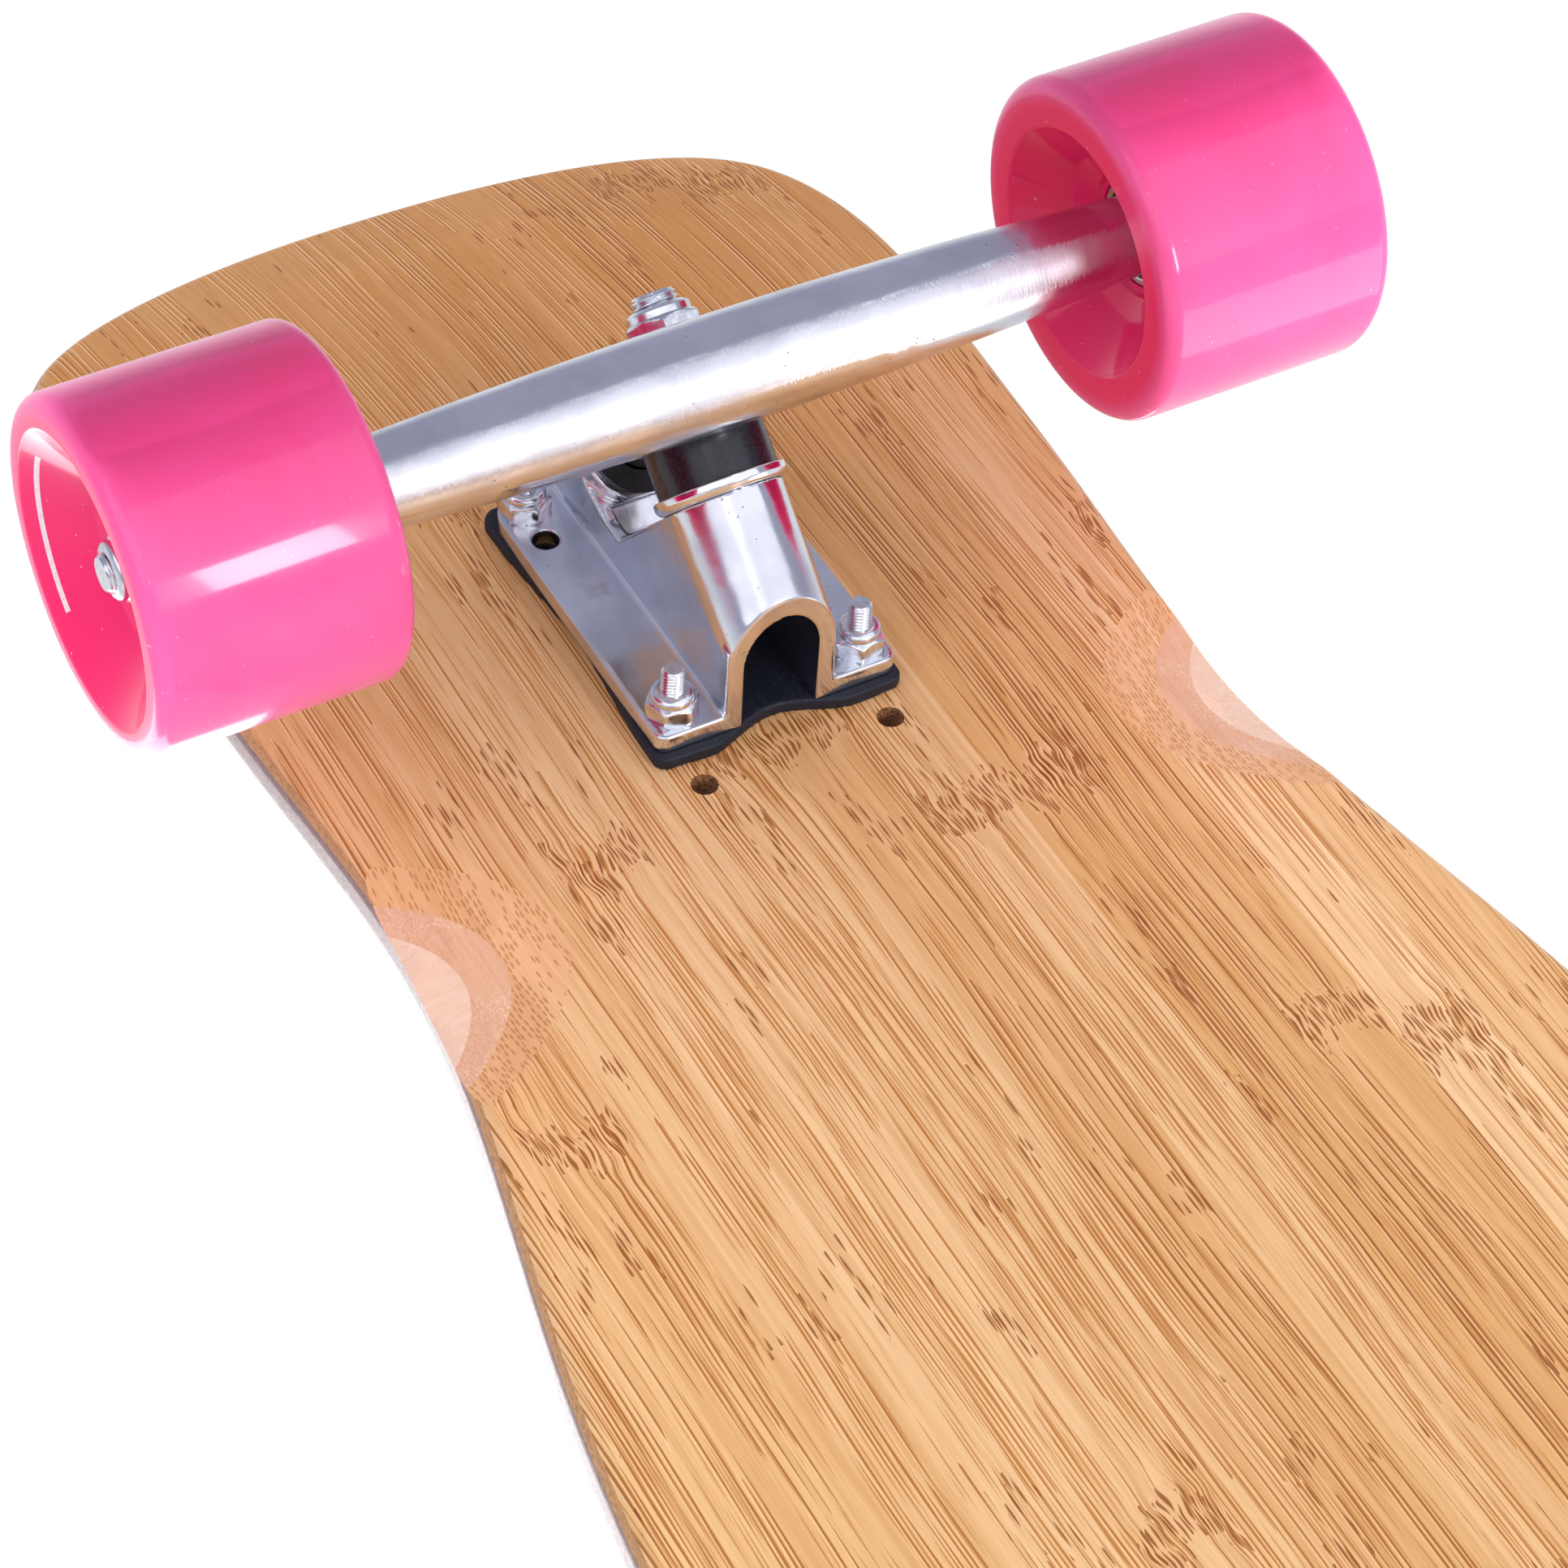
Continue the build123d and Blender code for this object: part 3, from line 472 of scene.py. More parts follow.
def moulded(name, base, lift, roughness, speckle, coat=0.0):
    """Moulded rubber or plastic with dust and a fine skin."""
    n = Nodes(name)
    skin = n.noise(n.place, scale=1.2, detail=3.0)
    dust = n.noise(n.place, scale=2.3, detail=2.0)
    color = n.mix(n.band(skin, 0.35, 0.7), base, lift)
    color = n.mix(n.band(dust, 0.68, 0.74, 0.0, speckle), color, rgb(0.35, 0.38, 0.45))
    n.bump(skin, 0.06, 0.5)
    return n.finish(color, n.band(skin, 0.3, 0.7, roughness, roughness + 0.12), Coat_Weight=coat,
                    Coat_Roughness=0.08)


BAMBOO = bamboo("bamboo_varnished")
BAMBOO_SANDED = bamboo("bamboo_sanded", sanded=True)
MAPLE = maple("maple_lengthwise", False, rgb(0.77, 0.50, 0.32), rgb(0.68, 0.38, 0.20))
MAPLE_CROSS = maple("maple_crosswise", True, rgb(0.84, 0.67, 0.52), rgb(0.77, 0.56, 0.38))
BAMBOO_EDGE = ply_edge("bamboo_edge", rgb(0.55, 0.29, 0.12))
# Maple edge: its own mauve, darkened further as painted shade against the strong light from above. The top
# bamboo ply's rim uses it too.
MAPLE_EDGE = ply_edge("maple_edge", rgb(0.27, 0.16, 0.155))
GRIP = grip()
RAW_WOOD = raw_wood()
PINK = urethane()
STRIPE = stripe_paint()
CAST = cast_metal("cast_baseplate", False)
BEAM_METAL = cast_metal("cast_hanger", True)
ZINC = plated("zinc_plate", rgb(0.82, 0.84, 0.88), rgb(0.66, 0.68, 0.72), 0.14)
CHROME = plated("chrome_plate", rgb(0.88, 0.89, 0.92), rgb(0.80, 0.81, 0.85), 0.06)
BEARING_STEEL = plated("bearing_steel", rgb(0.60, 0.60, 0.63), rgb(0.45, 0.45, 0.48), 0.12)
BRASS = plated("cage_brass", rgb(0.72, 0.47, 0.22), rgb(0.55, 0.33, 0.14), 0.25)
RUBBER = moulded("riser_rubber", rgb(0.002, 0.004, 0.012), rgb(0.008, 0.012, 0.028), 0.55, 0.3)
SEAL = moulded("seal_rubber", rgb(0.006, 0.006, 0.007), rgb(0.014, 0.013, 0.014), 0.3, 0.1)
BUSHING = moulded("bushing_urethane", rgb(0.006, 0.006, 0.009), rgb(0.010, 0.012, 0.024), 0.2, 0.06, 0.1)
PLASTIC = moulded("cup_plastic", rgb(0.010, 0.010, 0.011), rgb(0.02, 0.02, 0.022), 0.4, 0.1)


# ---- mesh tools ----------------------------------------------------------------------------------------
def mesh_from(name, points, faces):
    """Mesh from points in millimetres, with its normals outwards."""
    mesh = bpy.data.meshes.new(name)
    mesh.from_pydata([tuple(c * MM for c in p) for p in points], [], faces)
    work = bmesh.new()
    work.from_mesh(mesh)
    bmesh.ops.remove_doubles(work, verts=work.verts, dist=1e-7)
    bmesh.ops.dissolve_degenerate(work, dist=1e-8, edges=work.edges)
    bmesh.ops.recalc_face_normals(work, faces=work.faces)
    work.to_mesh(mesh)
    work.free()
    return mesh


def smooth(mesh, angle=35.0):
    mesh.shade_smooth()
    mesh.set_sharp_from_angle(angle=math.radians(angle))
    return mesh


def softened(corners, steps=5):
    """Closed outline with its corners rounded: each corner is (a, b) or (a, b, radius)."""
    points = []
    count = len(corners)
    for i, corner in enumerate(corners):
        at = Vector(corner[:2])
        radius = corner[2] if len(corner) > 2 else 0.0
        before = (Vector(corners[i - 1][:2]) - at).normalized()
        after = (Vector(corners[(i + 1) % count][:2]) - at).normalized()
        half = before.angle(after) / 2
        if radius == 0.0 or half > math.radians(89):
            points.append(tuple(at))
            continue
        reach = radius / math.tan(half)
        middle = at + (before + after).normalized() * radius / math.sin(half)
        start, end = at + before * reach - middle, at + after * reach - middle
        turn = start.angle_signed(end)
        for k in range(steps + 1):
            arm = start.copy()
            arm.rotate(Matrix.Rotation(-turn * k / steps, 2))
            points.append(tuple(middle + arm))
    return points


def lathe(name, outline, segments=96):
    """Solid of revolution round Z from a closed outline of (radius, height)."""
    count = len(outline)
    points, faces = [], []
    for i in range(segments):
        angle = 2 * math.pi * i / segments
        points += [(r * math.cos(angle), r * math.sin(angle), h) for r, h in outline]
    for i in range(segments):
        for k in range(count):
            a, b = i * count + k, i * count + (k + 1) % count
            shift = ((i + 1) % segments - i) * count
            faces.append((a, b, b + shift, a + shift))
    return smooth(mesh_from(name, points, faces))


def skinned(name, heights, radius_at, bore, segments):
    """Solid whose outer radius is a function of angle and height, with a round bore or none."""
    points, faces = [], []
    angles = [2 * math.pi * i / segments for i in range(segments)]
    for height in heights:
        rs = [radius_at(a, height) for a in angles]
        points += [(r * math.cos(a), r * math.sin(a), height) for r, a in zip(rs, angles)]
    for height in (heights[-1], heights[0]):
        points += [(bore * math.cos(a), bore * math.sin(a), height) for a in angles]
    rows = len(heights) + 2
    for row in range(rows):
        for i in range(segments):
            j = (i + 1) % segments
            low, high = row * segments, ((row + 1) % rows) * segments
            faces.append((low + i, low + j, high + j, high + i))
    return smooth(mesh_from(name, points, faces), 25.0)


def hex_radius(flats, angle):
    sector = math.radians(60)
    return flats / 2 / math.cos((angle % sector) - sector / 2)


def nut_mesh(name, flats, hex_height, total, bore):
    """Lock nut: chamfered hexagon, then a round crimped collar."""
    corner = flats / 2 / math.cos(math.radians(30))
    collar = flats * 0.46
    heights = [0.0, 0.25, 0.5, hex_height - 1.1]
    heights += [hex_height - 1.1 + 1.1 * k / 6 for k in range(1, 7)]
    heights += [hex_height + 0.001, total - 0.9, total - 0.55, total - 0.25, total - 0.06, total]

    def radius_at(angle, height):
        if height > hex_height:
            crimp = max(height - (total - 0.9), 0) / 0.9
            return collar - 1.1 * crimp**2
        top = corner + 0.1 - 1.75 * max(height - (hex_height - 1.1), 0) / 1.1
        bottom = corner - 0.55 * max(0.5 - height, 0) / 0.5
        return min(hex_radius(flats, angle), top, bottom)

    return skinned(name, heights, radius_at, bore, 72)


def thread_mesh(name, radius, pitch, start, end):
    """Screw thread: a cylinder whose radius follows a helix, with a chamfered end."""
    rows = int((end - start) / pitch * 8)
    heights = [start + (end - start) * k / rows for k in range(rows + 1)]

    def radius_at(angle, height):
        phase = (height / pitch - angle / (2 * math.pi)) % 1.0
        valley = abs(phase - 0.5) * 2
        chamfer = max(height - (end - pitch * 0.8), 0)
        return min(radius - 0.55 * pitch * max(valley - 0.2, 0), radius - chamfer * 0.9)

    return skinned(name, heights, radius_at, 0.0, 36)


def merged(name, parts):
    """One mesh from several meshes, each with its own matrix."""
    work = bmesh.new()
    for mesh, matrix in parts:
        placed = mesh.copy()
        placed.transform(matrix)
        work.from_mesh(placed)
    mesh = bpy.data.meshes.new(name)
    work.to_mesh(mesh)
    work.free()
    return smooth(mesh)


def piece(name, mesh, material, body, nodes, slot, place=None):
    """A finished piece that rides on a body and stands for its CAD nodes."""
    obj = bpy.data.objects.new(name, mesh)
    bpy.context.scene.collection.objects.link(obj)
    if place is not None:
        obj.matrix_world = place
    if not mesh.materials:
        mesh.materials.append(material)
    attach(obj, body)
    if nodes:
        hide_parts(*nodes)
    return obj


def temporary(name, mesh, place=None):
    obj = bpy.data.objects.new(name, mesh)
    bpy.context.scene.collection.objects.link(obj)
    if place is not None:
        obj.matrix_world = place
    return obj


def evaluated_mesh(obj):
    """The object's mesh with its modifiers applied. The object is removed."""
    bpy.context.view_layer.update()
    shown = obj.evaluated_get(bpy.context.evaluated_depsgraph_get())
    mesh = bpy.data.meshes.new_from_object(shown)
    bpy.data.objects.remove(obj)
    return mesh


def cast_from_node(node, voxel, rounding):
    """The CAD solid with its edges melted round, as a casting's are."""
    obj = temporary(node + "_blank", frame["nodes"][node].data.copy())
    obj.data.materials.clear()
    remesh = obj.modifiers.new("skin", "REMESH")
    remesh.mode = "VOXEL"
    remesh.voxel_size = voxel * MM
    relax = obj.modifiers.new("relax", "SMOOTH")
    relax.factor = 0.5
    relax.iterations = rounding
    thin = obj.modifiers.new("thin", "DECIMATE")
    thin.ratio = 0.45
    mesh = evaluated_mesh(obj)
    mesh.shade_smooth()
    return mesh


# ---- deck ----------------------------------------------------------------------------------------------
def deck_height(x, y, height):
    """Height of a surface of the pressed deck: curled edges, then kicked ends."""
    curl = CONCAVE_RADIUS - height
    rise = height + curl - math.sqrt(curl**2 - max(abs(y) - FLAT_HALF, 0) ** 2)
    beyond = max(abs(x) - KICK_START, 0)
    return UNDERSIDE + KICK_RADIUS - math.sqrt((KICK_RADIUS - rise) ** 2 - beyond**2)


def half_outline(spacing=4.0):
    """The left half of the deck's outline, nose to tail, evenly spaced along the CAD ply's edge."""
    mesh = frame["nodes"]["deck_maple_ply_4"].data
    found = set()
    for face in mesh.polygons:
        if abs(face.normal.z) < 0.2 and max(abs(face.center.y), abs(face.center.x) - 0.40) > 0.05:
            for v in face.vertices:
                at = mesh.vertices[v].co
                found.add((round(abs(at.x) / MM, 2), round(abs(at.y) / MM, 2)))
    tip = max(x for x, y in found)
    quarter = sorted(found, key=lambda p: math.atan2(p[1] / 120, p[0] / 500))
    quarter = [(tip, 0.0)] + [p for p in quarter if 0.3 < p[1] and 0.3 < p[0]]
    quarter.append((0.0, max(y for x, y in found)))
    half = quarter + [(-x, y) for x, y in reversed(quarter[:-1])]
    points = np.array(half)
    steps = np.hypot(*np.diff(points, axis=0).T)
    keep = np.append(True, steps > 0.3)
    points = points[keep]
    length = np.append(0, np.cumsum(np.hypot(*np.diff(points, axis=0).T)))
    even = np.linspace(0, length[-1], int(length[-1] / spacing))
    line = np.column_stack([np.interp(even, length, points[:, k]) for k in (0, 1)])
    for _ in range(3):
        line[1:-1] = (line[:-2] + 2 * line[1:-1] + line[2:]) / 4
    return line


def outward(line):
    """Unit normals of the half outline, straight out at both tips."""
    tangent = np.gradient(line, axis=0)
    normal = np.column_stack([tangent[:, 1], -tangent[:, 0]])
    normal /= np.hypot(*normal.T)[:, None]
    normal[0], normal[-1] = (1, 0), (-1, 0)
    return normal


def edge_inset(height):
    """How far the rounded rim has drawn in at a height above the underside."""
    if height < RIM_LOW_RADIUS:
        return RIM_LOW_RADIUS - math.sqrt(RIM_LOW_RADIUS**2 - (RIM_LOW_RADIUS - height) ** 2)
    above = height - (DECK_THICK - RIM_HIGH_RADIUS)
    if 0 < above <= RIM_HIGH_RADIUS:
        return RIM_HIGH_RADIUS - math.sqrt(RIM_HIGH_RADIUS**2 - above**2)
    return 0.0 if height <= DECK_THICK else TAPE_INSET + 0.4 * (height - DECK_THICK)


def ply_mesh(name, low, high, columns):
    """One ply of the deck, with its share of the rounded rim."""
    lower = {RIM_LOW_RADIUS * (1 - math.cos(math.radians(a))) for a in range(8, 90, 8)}
    upper = {DECK_THICK - RIM_HIGH_RADIUS * (1 - math.sin(math.radians(a))) for a in range(0, 90, 15)}
    rim = sorted({low, high} | lower | upper)
    rim = [h for h in rim if low <= h <= high]
    line = half_outline()
    normals = outward(line)
    points, faces = [], []

    def grid(rows):
        base = len(points)
        width = len(rows[0])
        for row in rows:
            points.extend(row)
        for i in range(len(rows) - 1):
            for j in range(width - 1):
                a = base + i * width + j
                faces.append((a, a + 1, a + 1 + width, a + width))

    def edge_at(height):
        under_tape = height == DECK_THICK and low == DECK_THICK
        edge = line - normals * (TAPE_INSET if under_tape else edge_inset(height))
        edge[:, 1] = np.maximum(edge[:, 1], 0)
        return edge

    across = [2 * k / columns - 1 for k in range(columns + 1)]
    for height in (low, high):
        grid([[(x, y * v, deck_height(x, y * v, height)) for v in across] for x, y in edge_at(height)])
    for side in (1, -1):
        grid([[(x, side * y, deck_height(x, y, height)) for x, y in edge_at(height)] for height in rim])
    return mesh_from(name, points, faces)


def well_cutters(material):
    """The four tilted cylinders that sand the wheel wells."""
    outline = [(0, -90), (WELL_RADIUS, -90), (WELL_RADIUS, 90), (0, 90)]
    mesh = lathe("well_cutter", outline, 360)
    mesh.materials.append(material)
    cutters = []
    for x_sign in (1, -1):
        for y_sign in (1, -1):
            at = Matrix.Translation(Vector((x_sign * WELL_X, y_sign * WELL_Y, UNDERSIDE + WELL_HEIGHT)) * MM)
            tilt = Matrix.Rotation(math.radians(y_sign * WELL_SLOPE), 4, "X")
            lie = Matrix.Translation((0, 0, -WELL_RADIUS * MM)) @ Matrix.Rotation(math.pi / 2, 4, "X")
            cutters.append((mesh, at @ tilt @ lie))
    return cutters


def screw_places():
    """Truck screws of both ends, from the boxes of the CAD screws."""
    places = []
    for end in ENDS:
        low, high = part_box(f"{end}_mounting_screws")
        reach = (HEAD_RADIUS - 0.25) * MM
        for x in (low.x + reach, high.x - reach):
            for y in (low.y + reach, high.y - reach):
                places.append((end, Vector((x, y, 0))))
    return places


def spare_places():
    """Empty screw holes, from the record's mounts."""
    places = []
    for mount in MOUNTS.values():
        if mount["kind"] == "bolt_pattern":
            half = mount["dims"]["spacing_y_mm"] / 2 * MM
            for sign in (1, -1):
                places.append(Vector((mount["pos_m"][0], mount["pos_m"][1] + sign * half, 0)))
    return places


def hole_cutters():
    """Drills for every screw hole, with countersinks under the heads."""
    start, end = 60, 160
    top = UNDERSIDE + DECK_THICK + TAPE_THICK
    plain = [(0, start), (HOLE_RADIUS, start), (HOLE_RADIUS, end), (0, end)]
    head = [(HOLE_RADIUS, top - HEAD_DEPTH), (HEAD_RADIUS, top), (HEAD_RADIUS, end)]
    sunk = plain[:2] + head + plain[3:]
    plain, sunk = lathe("drill", plain, 40), lathe("sink", sunk, 40)
    for mesh in (plain, sunk):
        mesh.materials.append(RAW_WOOD)
    cutters = [(sunk, Matrix.Translation(at)) for _, at in screw_places()]
    return cutters + [(plain, Matrix.Translation(at)) for at in spare_places()]


def cut_with(mesh, cutters):
    """Subtracts cutters that don't touch each other, keeping their materials on the cut faces."""
    body = temporary("ply_blank", mesh)
    for i, (cutter, matrix) in enumerate(cutters):
        tool = temporary(f"cutter_{i}", cutter, matrix)
        cut = body.modifiers.new(f"cut_{i}", "BOOLEAN")
        cut.operation = "DIFFERENCE"
        cut.solver = "EXACT"
        cut.material_mode = "TRANSFER"
        cut.object = tool
    result = evaluated_mesh(body)
    for obj in [o for o in bpy.data.objects if o.name.startswith("cutter_")]:
        bpy.data.objects.remove(obj)
    return smooth(result, 32.0)


def paint_rim(mesh):
    """Gives the rounded rim of a ply its second material."""
    work = bmesh.new()
    work.from_mesh(mesh)
    work.normal_update()
    for face in work.faces:
        if abs(face.normal.z) < 0.72:
            face.material_index = 1
    work.to_mesh(mesh)
    work.free()


def build_deck():
    looks = {
        "deck_bamboo_bottom": (BAMBOO, BAMBOO_EDGE, BAMBOO_SANDED, "bamboo"),
        "deck_maple_ply_1": (MAPLE, MAPLE_EDGE, MAPLE, "maple"),
        "deck_maple_ply_2": (MAPLE_CROSS, MAPLE_EDGE, MAPLE_CROSS, "maple_cross"),
        "deck_maple_ply_3": (MAPLE, MAPLE_EDGE, None, "maple"),
        "deck_maple_ply_4": (MAPLE_CROSS, MAPLE_EDGE, None, "maple_cross"),
        # Painted shade: the top bamboo ply's rim takes the dark maple edge instead of its own bamboo edge, to
        # hold it down under the light from above.
        "deck_bamboo_top": (BAMBOO, MAPLE_EDGE, None, "bamboo"),
        "grip_tape": (GRIP, GRIP, None, "grip"),
    }
    for name, low, high in DECK_LAYERS:
        look, edge, sanded, slot = looks[name]
        outside = name in ("deck_bamboo_bottom", "grip_tape")
        mesh = ply_mesh(name, low, high, 26 if outside else 12)
        for material in (look, edge):
            mesh.materials.append(material)
        paint_rim(mesh)
        cutters = hole_cutters()
        if sanded is not None:
            cutters += well_cutters(sanded)
        mesh = cut_with(mesh, cutters)
        piece(name + "_pressed", mesh, look, "deck", [name], slot)


build_deck()


# ---- wheels --------------------------------------------------------------------------------------------
def dish(mouth, face):
    """One dished side of the wheel, from the lip to the bearing seat, as softened corners."""
    sign = 1 if face > 0 else -1
    return [
        (WHEEL_RADIUS, face, 3.4),
        (mouth + 0.4, face, 1.1),
        (17.4, sign * 15.4, 2.5),
        (12.9, sign * 13.1, 0.6),
        (12.2, sign * 12.3, 0.25),
        (11.0, sign * 12.3),
        (11.0, sign * 5.0),
        (9.5, sign * 5.0),
    ]


def tyre_mesh():
    outer = dish(28.3, WHEEL_HALF)
    inner = dish(25.1, -WHEEL_HALF)
    return lathe("tyre_turned", softened(outer + inner[::-1], 7), 160)


def stripe_mesh():
    """Two plain thin arcs that lie on the outer dish."""
    slope_start, slope_end = Vector((28.7, WHEEL_HALF)), Vector((17.4, 15.4))
    along = (slope_end - slope_start).normalized()
    off = Vector((-along.y, along.x)) * -0.05
    bands = [(3.2, 4.3, 158, 236), (3.2, 4.3, 338, 56)]
    points, faces = [], []
    for near, far, first, last in bands:
        edge = [slope_start + along * near, slope_start + along * far]
        ring = [edge[0] + off, edge[1] + off, edge[1] - off * 0.4, edge[0] - off * 0.4]
        last += 360 if last < first else 0
        steps = int((last - first) / 2)
        base = len(points)
        for i in range(steps + 1):
            angle = math.radians(first + (last - first) * i / steps)
            points += [(p.x * math.cos(angle), p.x * math.sin(angle), p.y) for p in ring]
        for i in range(steps):
            for k in range(4):
                a, b = base + i * 4 + k, base + i * 4 + (k + 1) % 4
                faces.append((a, b, b + 4, a + 4))
        faces.append((base, base + 1, base + 2, base + 3))
        faces.append(tuple(base + steps * 4 + k for k in (3, 2, 1, 0)))
    return smooth(mesh_from("stripe", points, faces))


def bearing_parts():
    """Outer ring, inner ring and seal of one 8 x 22 x 7 bearing about its own middle."""
    bore, inner_land, outer_land, outside, half = 4.0, 6.05, 9.5, 11.0, 3.5
    groove_radius, seal_back = 2.1, 3.0
    groove = [(BALL_CIRCLE + groove_radius * math.cos(math.radians(a)),
               groove_radius * math.sin(math.radians(a))) for a in range(0, 360, 15)]
    race_out = sorted((p for p in groove if p[0] > outer_land), key=lambda p: p[1])
    outer = [(outside, half - 0.3), (outside - 0.3, half), (outer_land + 0.3, half), (outer_land, half - 0.2)]
    outer += race_out[::-1] + [(r, -h) for r, h in outer[::-1]]
    race_in = sorted((p for p in groove if p[0] < inner_land), key=lambda p: p[1])
    inner = [(inner_land, half - 0.15), (inner_land - 0.15, half), (bore + 0.25, half), (bore, half - 0.25)]
    inner += [(r, -h) for r, h in inner[::-1]] + race_in
    seal = softened([(outer_land, 3.4, 0.15), (outer_land, seal_back), (6.3, seal_back), (6.3, 3.4, 0.15),
                     (7.0, 3.25, 0.1), (8.7, 3.25, 0.1)], 3)
    return lathe("outer_ring", outer, 72), lathe("inner_ring", inner, 72), lathe("seal", seal, 72)


def ball_mesh():
    mesh = bpy.data.meshes.new("ball")
    work = bmesh.new()
    bmesh.ops.create_icosphere(work, subdivisions=3, radius=1.95 * MM)
    work.to_mesh(mesh)
    work.free()
    mesh.shade_smooth()
    return mesh


def cage_mesh():
    """Crown cage: a thin band that waves round the balls."""
    count, steps = 7, 140
    points, faces = [], []
    for i in range(steps):
        angle = 2 * math.pi * i / steps
        lift = 0.9 + 1.3 * abs(math.sin(count * angle / 2)) ** 0.6
        for radius, height in ((7.35, lift), (8.2, lift), (8.2, lift + 0.35), (7.35, lift + 0.35)):
            points.append((radius * math.cos(angle), radius * math.sin(angle), height))
    for i in range(steps):
        for k in range(4):
            a, b = i * 4 + k, i * 4 + (k + 1) % 4
            shift = 4 if i < steps - 1 else 4 - steps * 4
            faces.append((a, b, b + shift, a + shift))
    return smooth(mesh_from("cage", points, faces), 50.0)


def build_wheels():
    tyre, stripe, ball, cage = tyre_mesh(), stripe_mesh(), ball_mesh(), cage_mesh()
    outer, inner, seal = bearing_parts()
    flip = Matrix.Rotation(math.pi, 4, "X")
    lift = [Matrix.Translation((0, 0, h * MM)) for h in (-8.5, 8.5)]
    ball_spots = [Matrix.Rotation(2 * math.pi * i / 7, 4, "Z") @ Matrix.Translation((BALL_CIRCLE * MM, 0, 0))
                  for i in range(7)]
    outer_pair = merged("outer_rings", [(outer, m) for m in lift])
    inner_pair = merged("inner_rings", [(inner, m) for m in lift])
    seal_set = merged("seals", [(seal, m @ f) for m in lift for f in (STAY, flip)])
    balls = merged("balls", [(ball, m @ spot) for m in lift for spot in ball_spots])
    cages = merged("cages", [(cage, m @ f) for m in lift for f in (STAY, flip)])
    for (end, side) in WHEEL_AT:
        wheel, place = f"{end}_{side}", wheel_frame(end, side)
        body, sets = wheel + "_wheel", wheel + "_ball_sets"
        piece(wheel + "_wheel_cast", tyre, PINK, body, [wheel + "_tyre"], "pink_urethane", place)
        piece(wheel + "_stripes", stripe, STRIPE, body, [], "pink_urethane", place)
        piece(wheel + "_outer_races", outer_pair, BEARING_STEEL, body, [wheel + "_bearing_outer_rings"],
              "bearing_steel", place)
        piece(wheel + "_seals", seal_set, SEAL, body, [wheel + "_bearing_seals"], "seal_rubber", place)
        piece(wheel + "_balls", balls, BEARING_STEEL, sets, [wheel + "_bearing_balls"],
              "bearing_steel", place)
        piece(wheel + "_cages", cages, BRASS, sets, [wheel + "_bearing_cages"], "brass_cage", place)
        piece(wheel + "_inner_races", inner_pair, BEARING_STEEL, end + "_hanger", [], "bearing_steel", place)


build_wheels()


# ---- trucks --------------------------------------------------------------------------------------------
def build_castings():
    for end in ENDS:
        plate = cast_from_node(f"{end}_baseplate", 0.42, 5)
        piece(f"{end}_baseplate_casting", plate, CAST, "deck", [f"{end}_baseplate"], "cast_aluminium")
        hanger = cast_from_node(f"{end}_hanger", 0.55, 4)
        piece(f"{end}_hanger_casting", hanger, BEAM_METAL, f"{end}_hanger", [f"{end}_hanger"],
              "cast_aluminium")
        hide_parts(f"{end}_bearing_inner_rings")


def build_bushings():
    """Bushings, cupped washers, kingpin and its nut, all on the kingpin's line."""
    board_cup, board_ring, road_ring, cup_end = 2.05, 15.4, 19.6, 27.95
    boards = softened([(12.2, board_cup, 0.8), (12.2, board_ring, 0.8), (5.0, board_ring, 0.3),
                       (5.0, board_cup, 0.3)])
    roads = softened([(10.0, road_ring, 0.8), (9.6, cup_end, 0.9), (5.0, cup_end, 0.3),
                      (5.0, road_ring, 0.3)])
    cup = softened([(4.95, 0.02), (12.8, 0.02, 1.4), (13.6, 1.4, 0.6), (13.6, 2.9, 0.45), (12.55, 2.9, 0.35),
                    (12.4, 2.0, 0.3), (4.95, 2.0)])
    road_cup = softened([(4.95, 29.8), (10.4, 29.8, 1.0), (11.0, 28.8, 0.5), (11.0, 27.1, 0.3),
                         (10.4, 27.1, 0.3), (10.3, 28.0, 0.2), (4.95, 28.0)])
    thread_start, tip = 38.3, 41.5
    pin_head = [(0.0, -12.0), (6.3, -12.0), (6.8, -11.5), (6.8, -6.0), (KINGPIN_RADIUS, -6.0),
                (KINGPIN_RADIUS, thread_start), (0.0, thread_start)]
    # The bushings: their node, mesh, held end and least share.
    bushes = [("bushing_boardside", lathe("board_bushing", boards), board_cup, 0.62),
              ("bushing_roadside", lathe("road_bushing", roads), cup_end, 0.52)]
    cups = merged("cups", [(lathe("cup", cup), STAY), (lathe("road_cup", road_cup), STAY)])
    thread = thread_mesh("pin_thread", KINGPIN_RADIUS, FINE_PITCH, thread_start, tip)
    pin = merged("pin", [(lathe("pin_shank", pin_head, 48), STAY), (thread, STAY)])
    nut = nut_mesh("kingpin_nut", 14.3, 6.8, 9.0, KINGPIN_RADIUS - 0.1)
    for end in ENDS:
        place = kingpin_frame(end)
        for node, mesh, held_end, keep in bushes:
            own = mesh.copy()
            obj = piece(f"{end}_{node}_turned", own, BUSHING, "deck", [f"{end}_{node}"],
                        "bushing_urethane", place)
            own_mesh(obj)
        piece(f"{end}_cups", cups, CHROME, "deck", [f"{end}_cup_washers"], "chrome_steel", place)
        piece(f"{end}_kingpin_bolt", pin, ZINC, "deck", [f"{end}_kingpin"], "zinc_steel", place)
        raised = place @ Matrix.Translation((0, 0, 29.8 * MM)) @ Matrix.Rotation(math.radians(12), 4, "Z")
        piece(f"{end}_kingpin_locknut", nut, ZINC, "deck", [f"{end}_kingpin_nut"], "zinc_steel", raised)


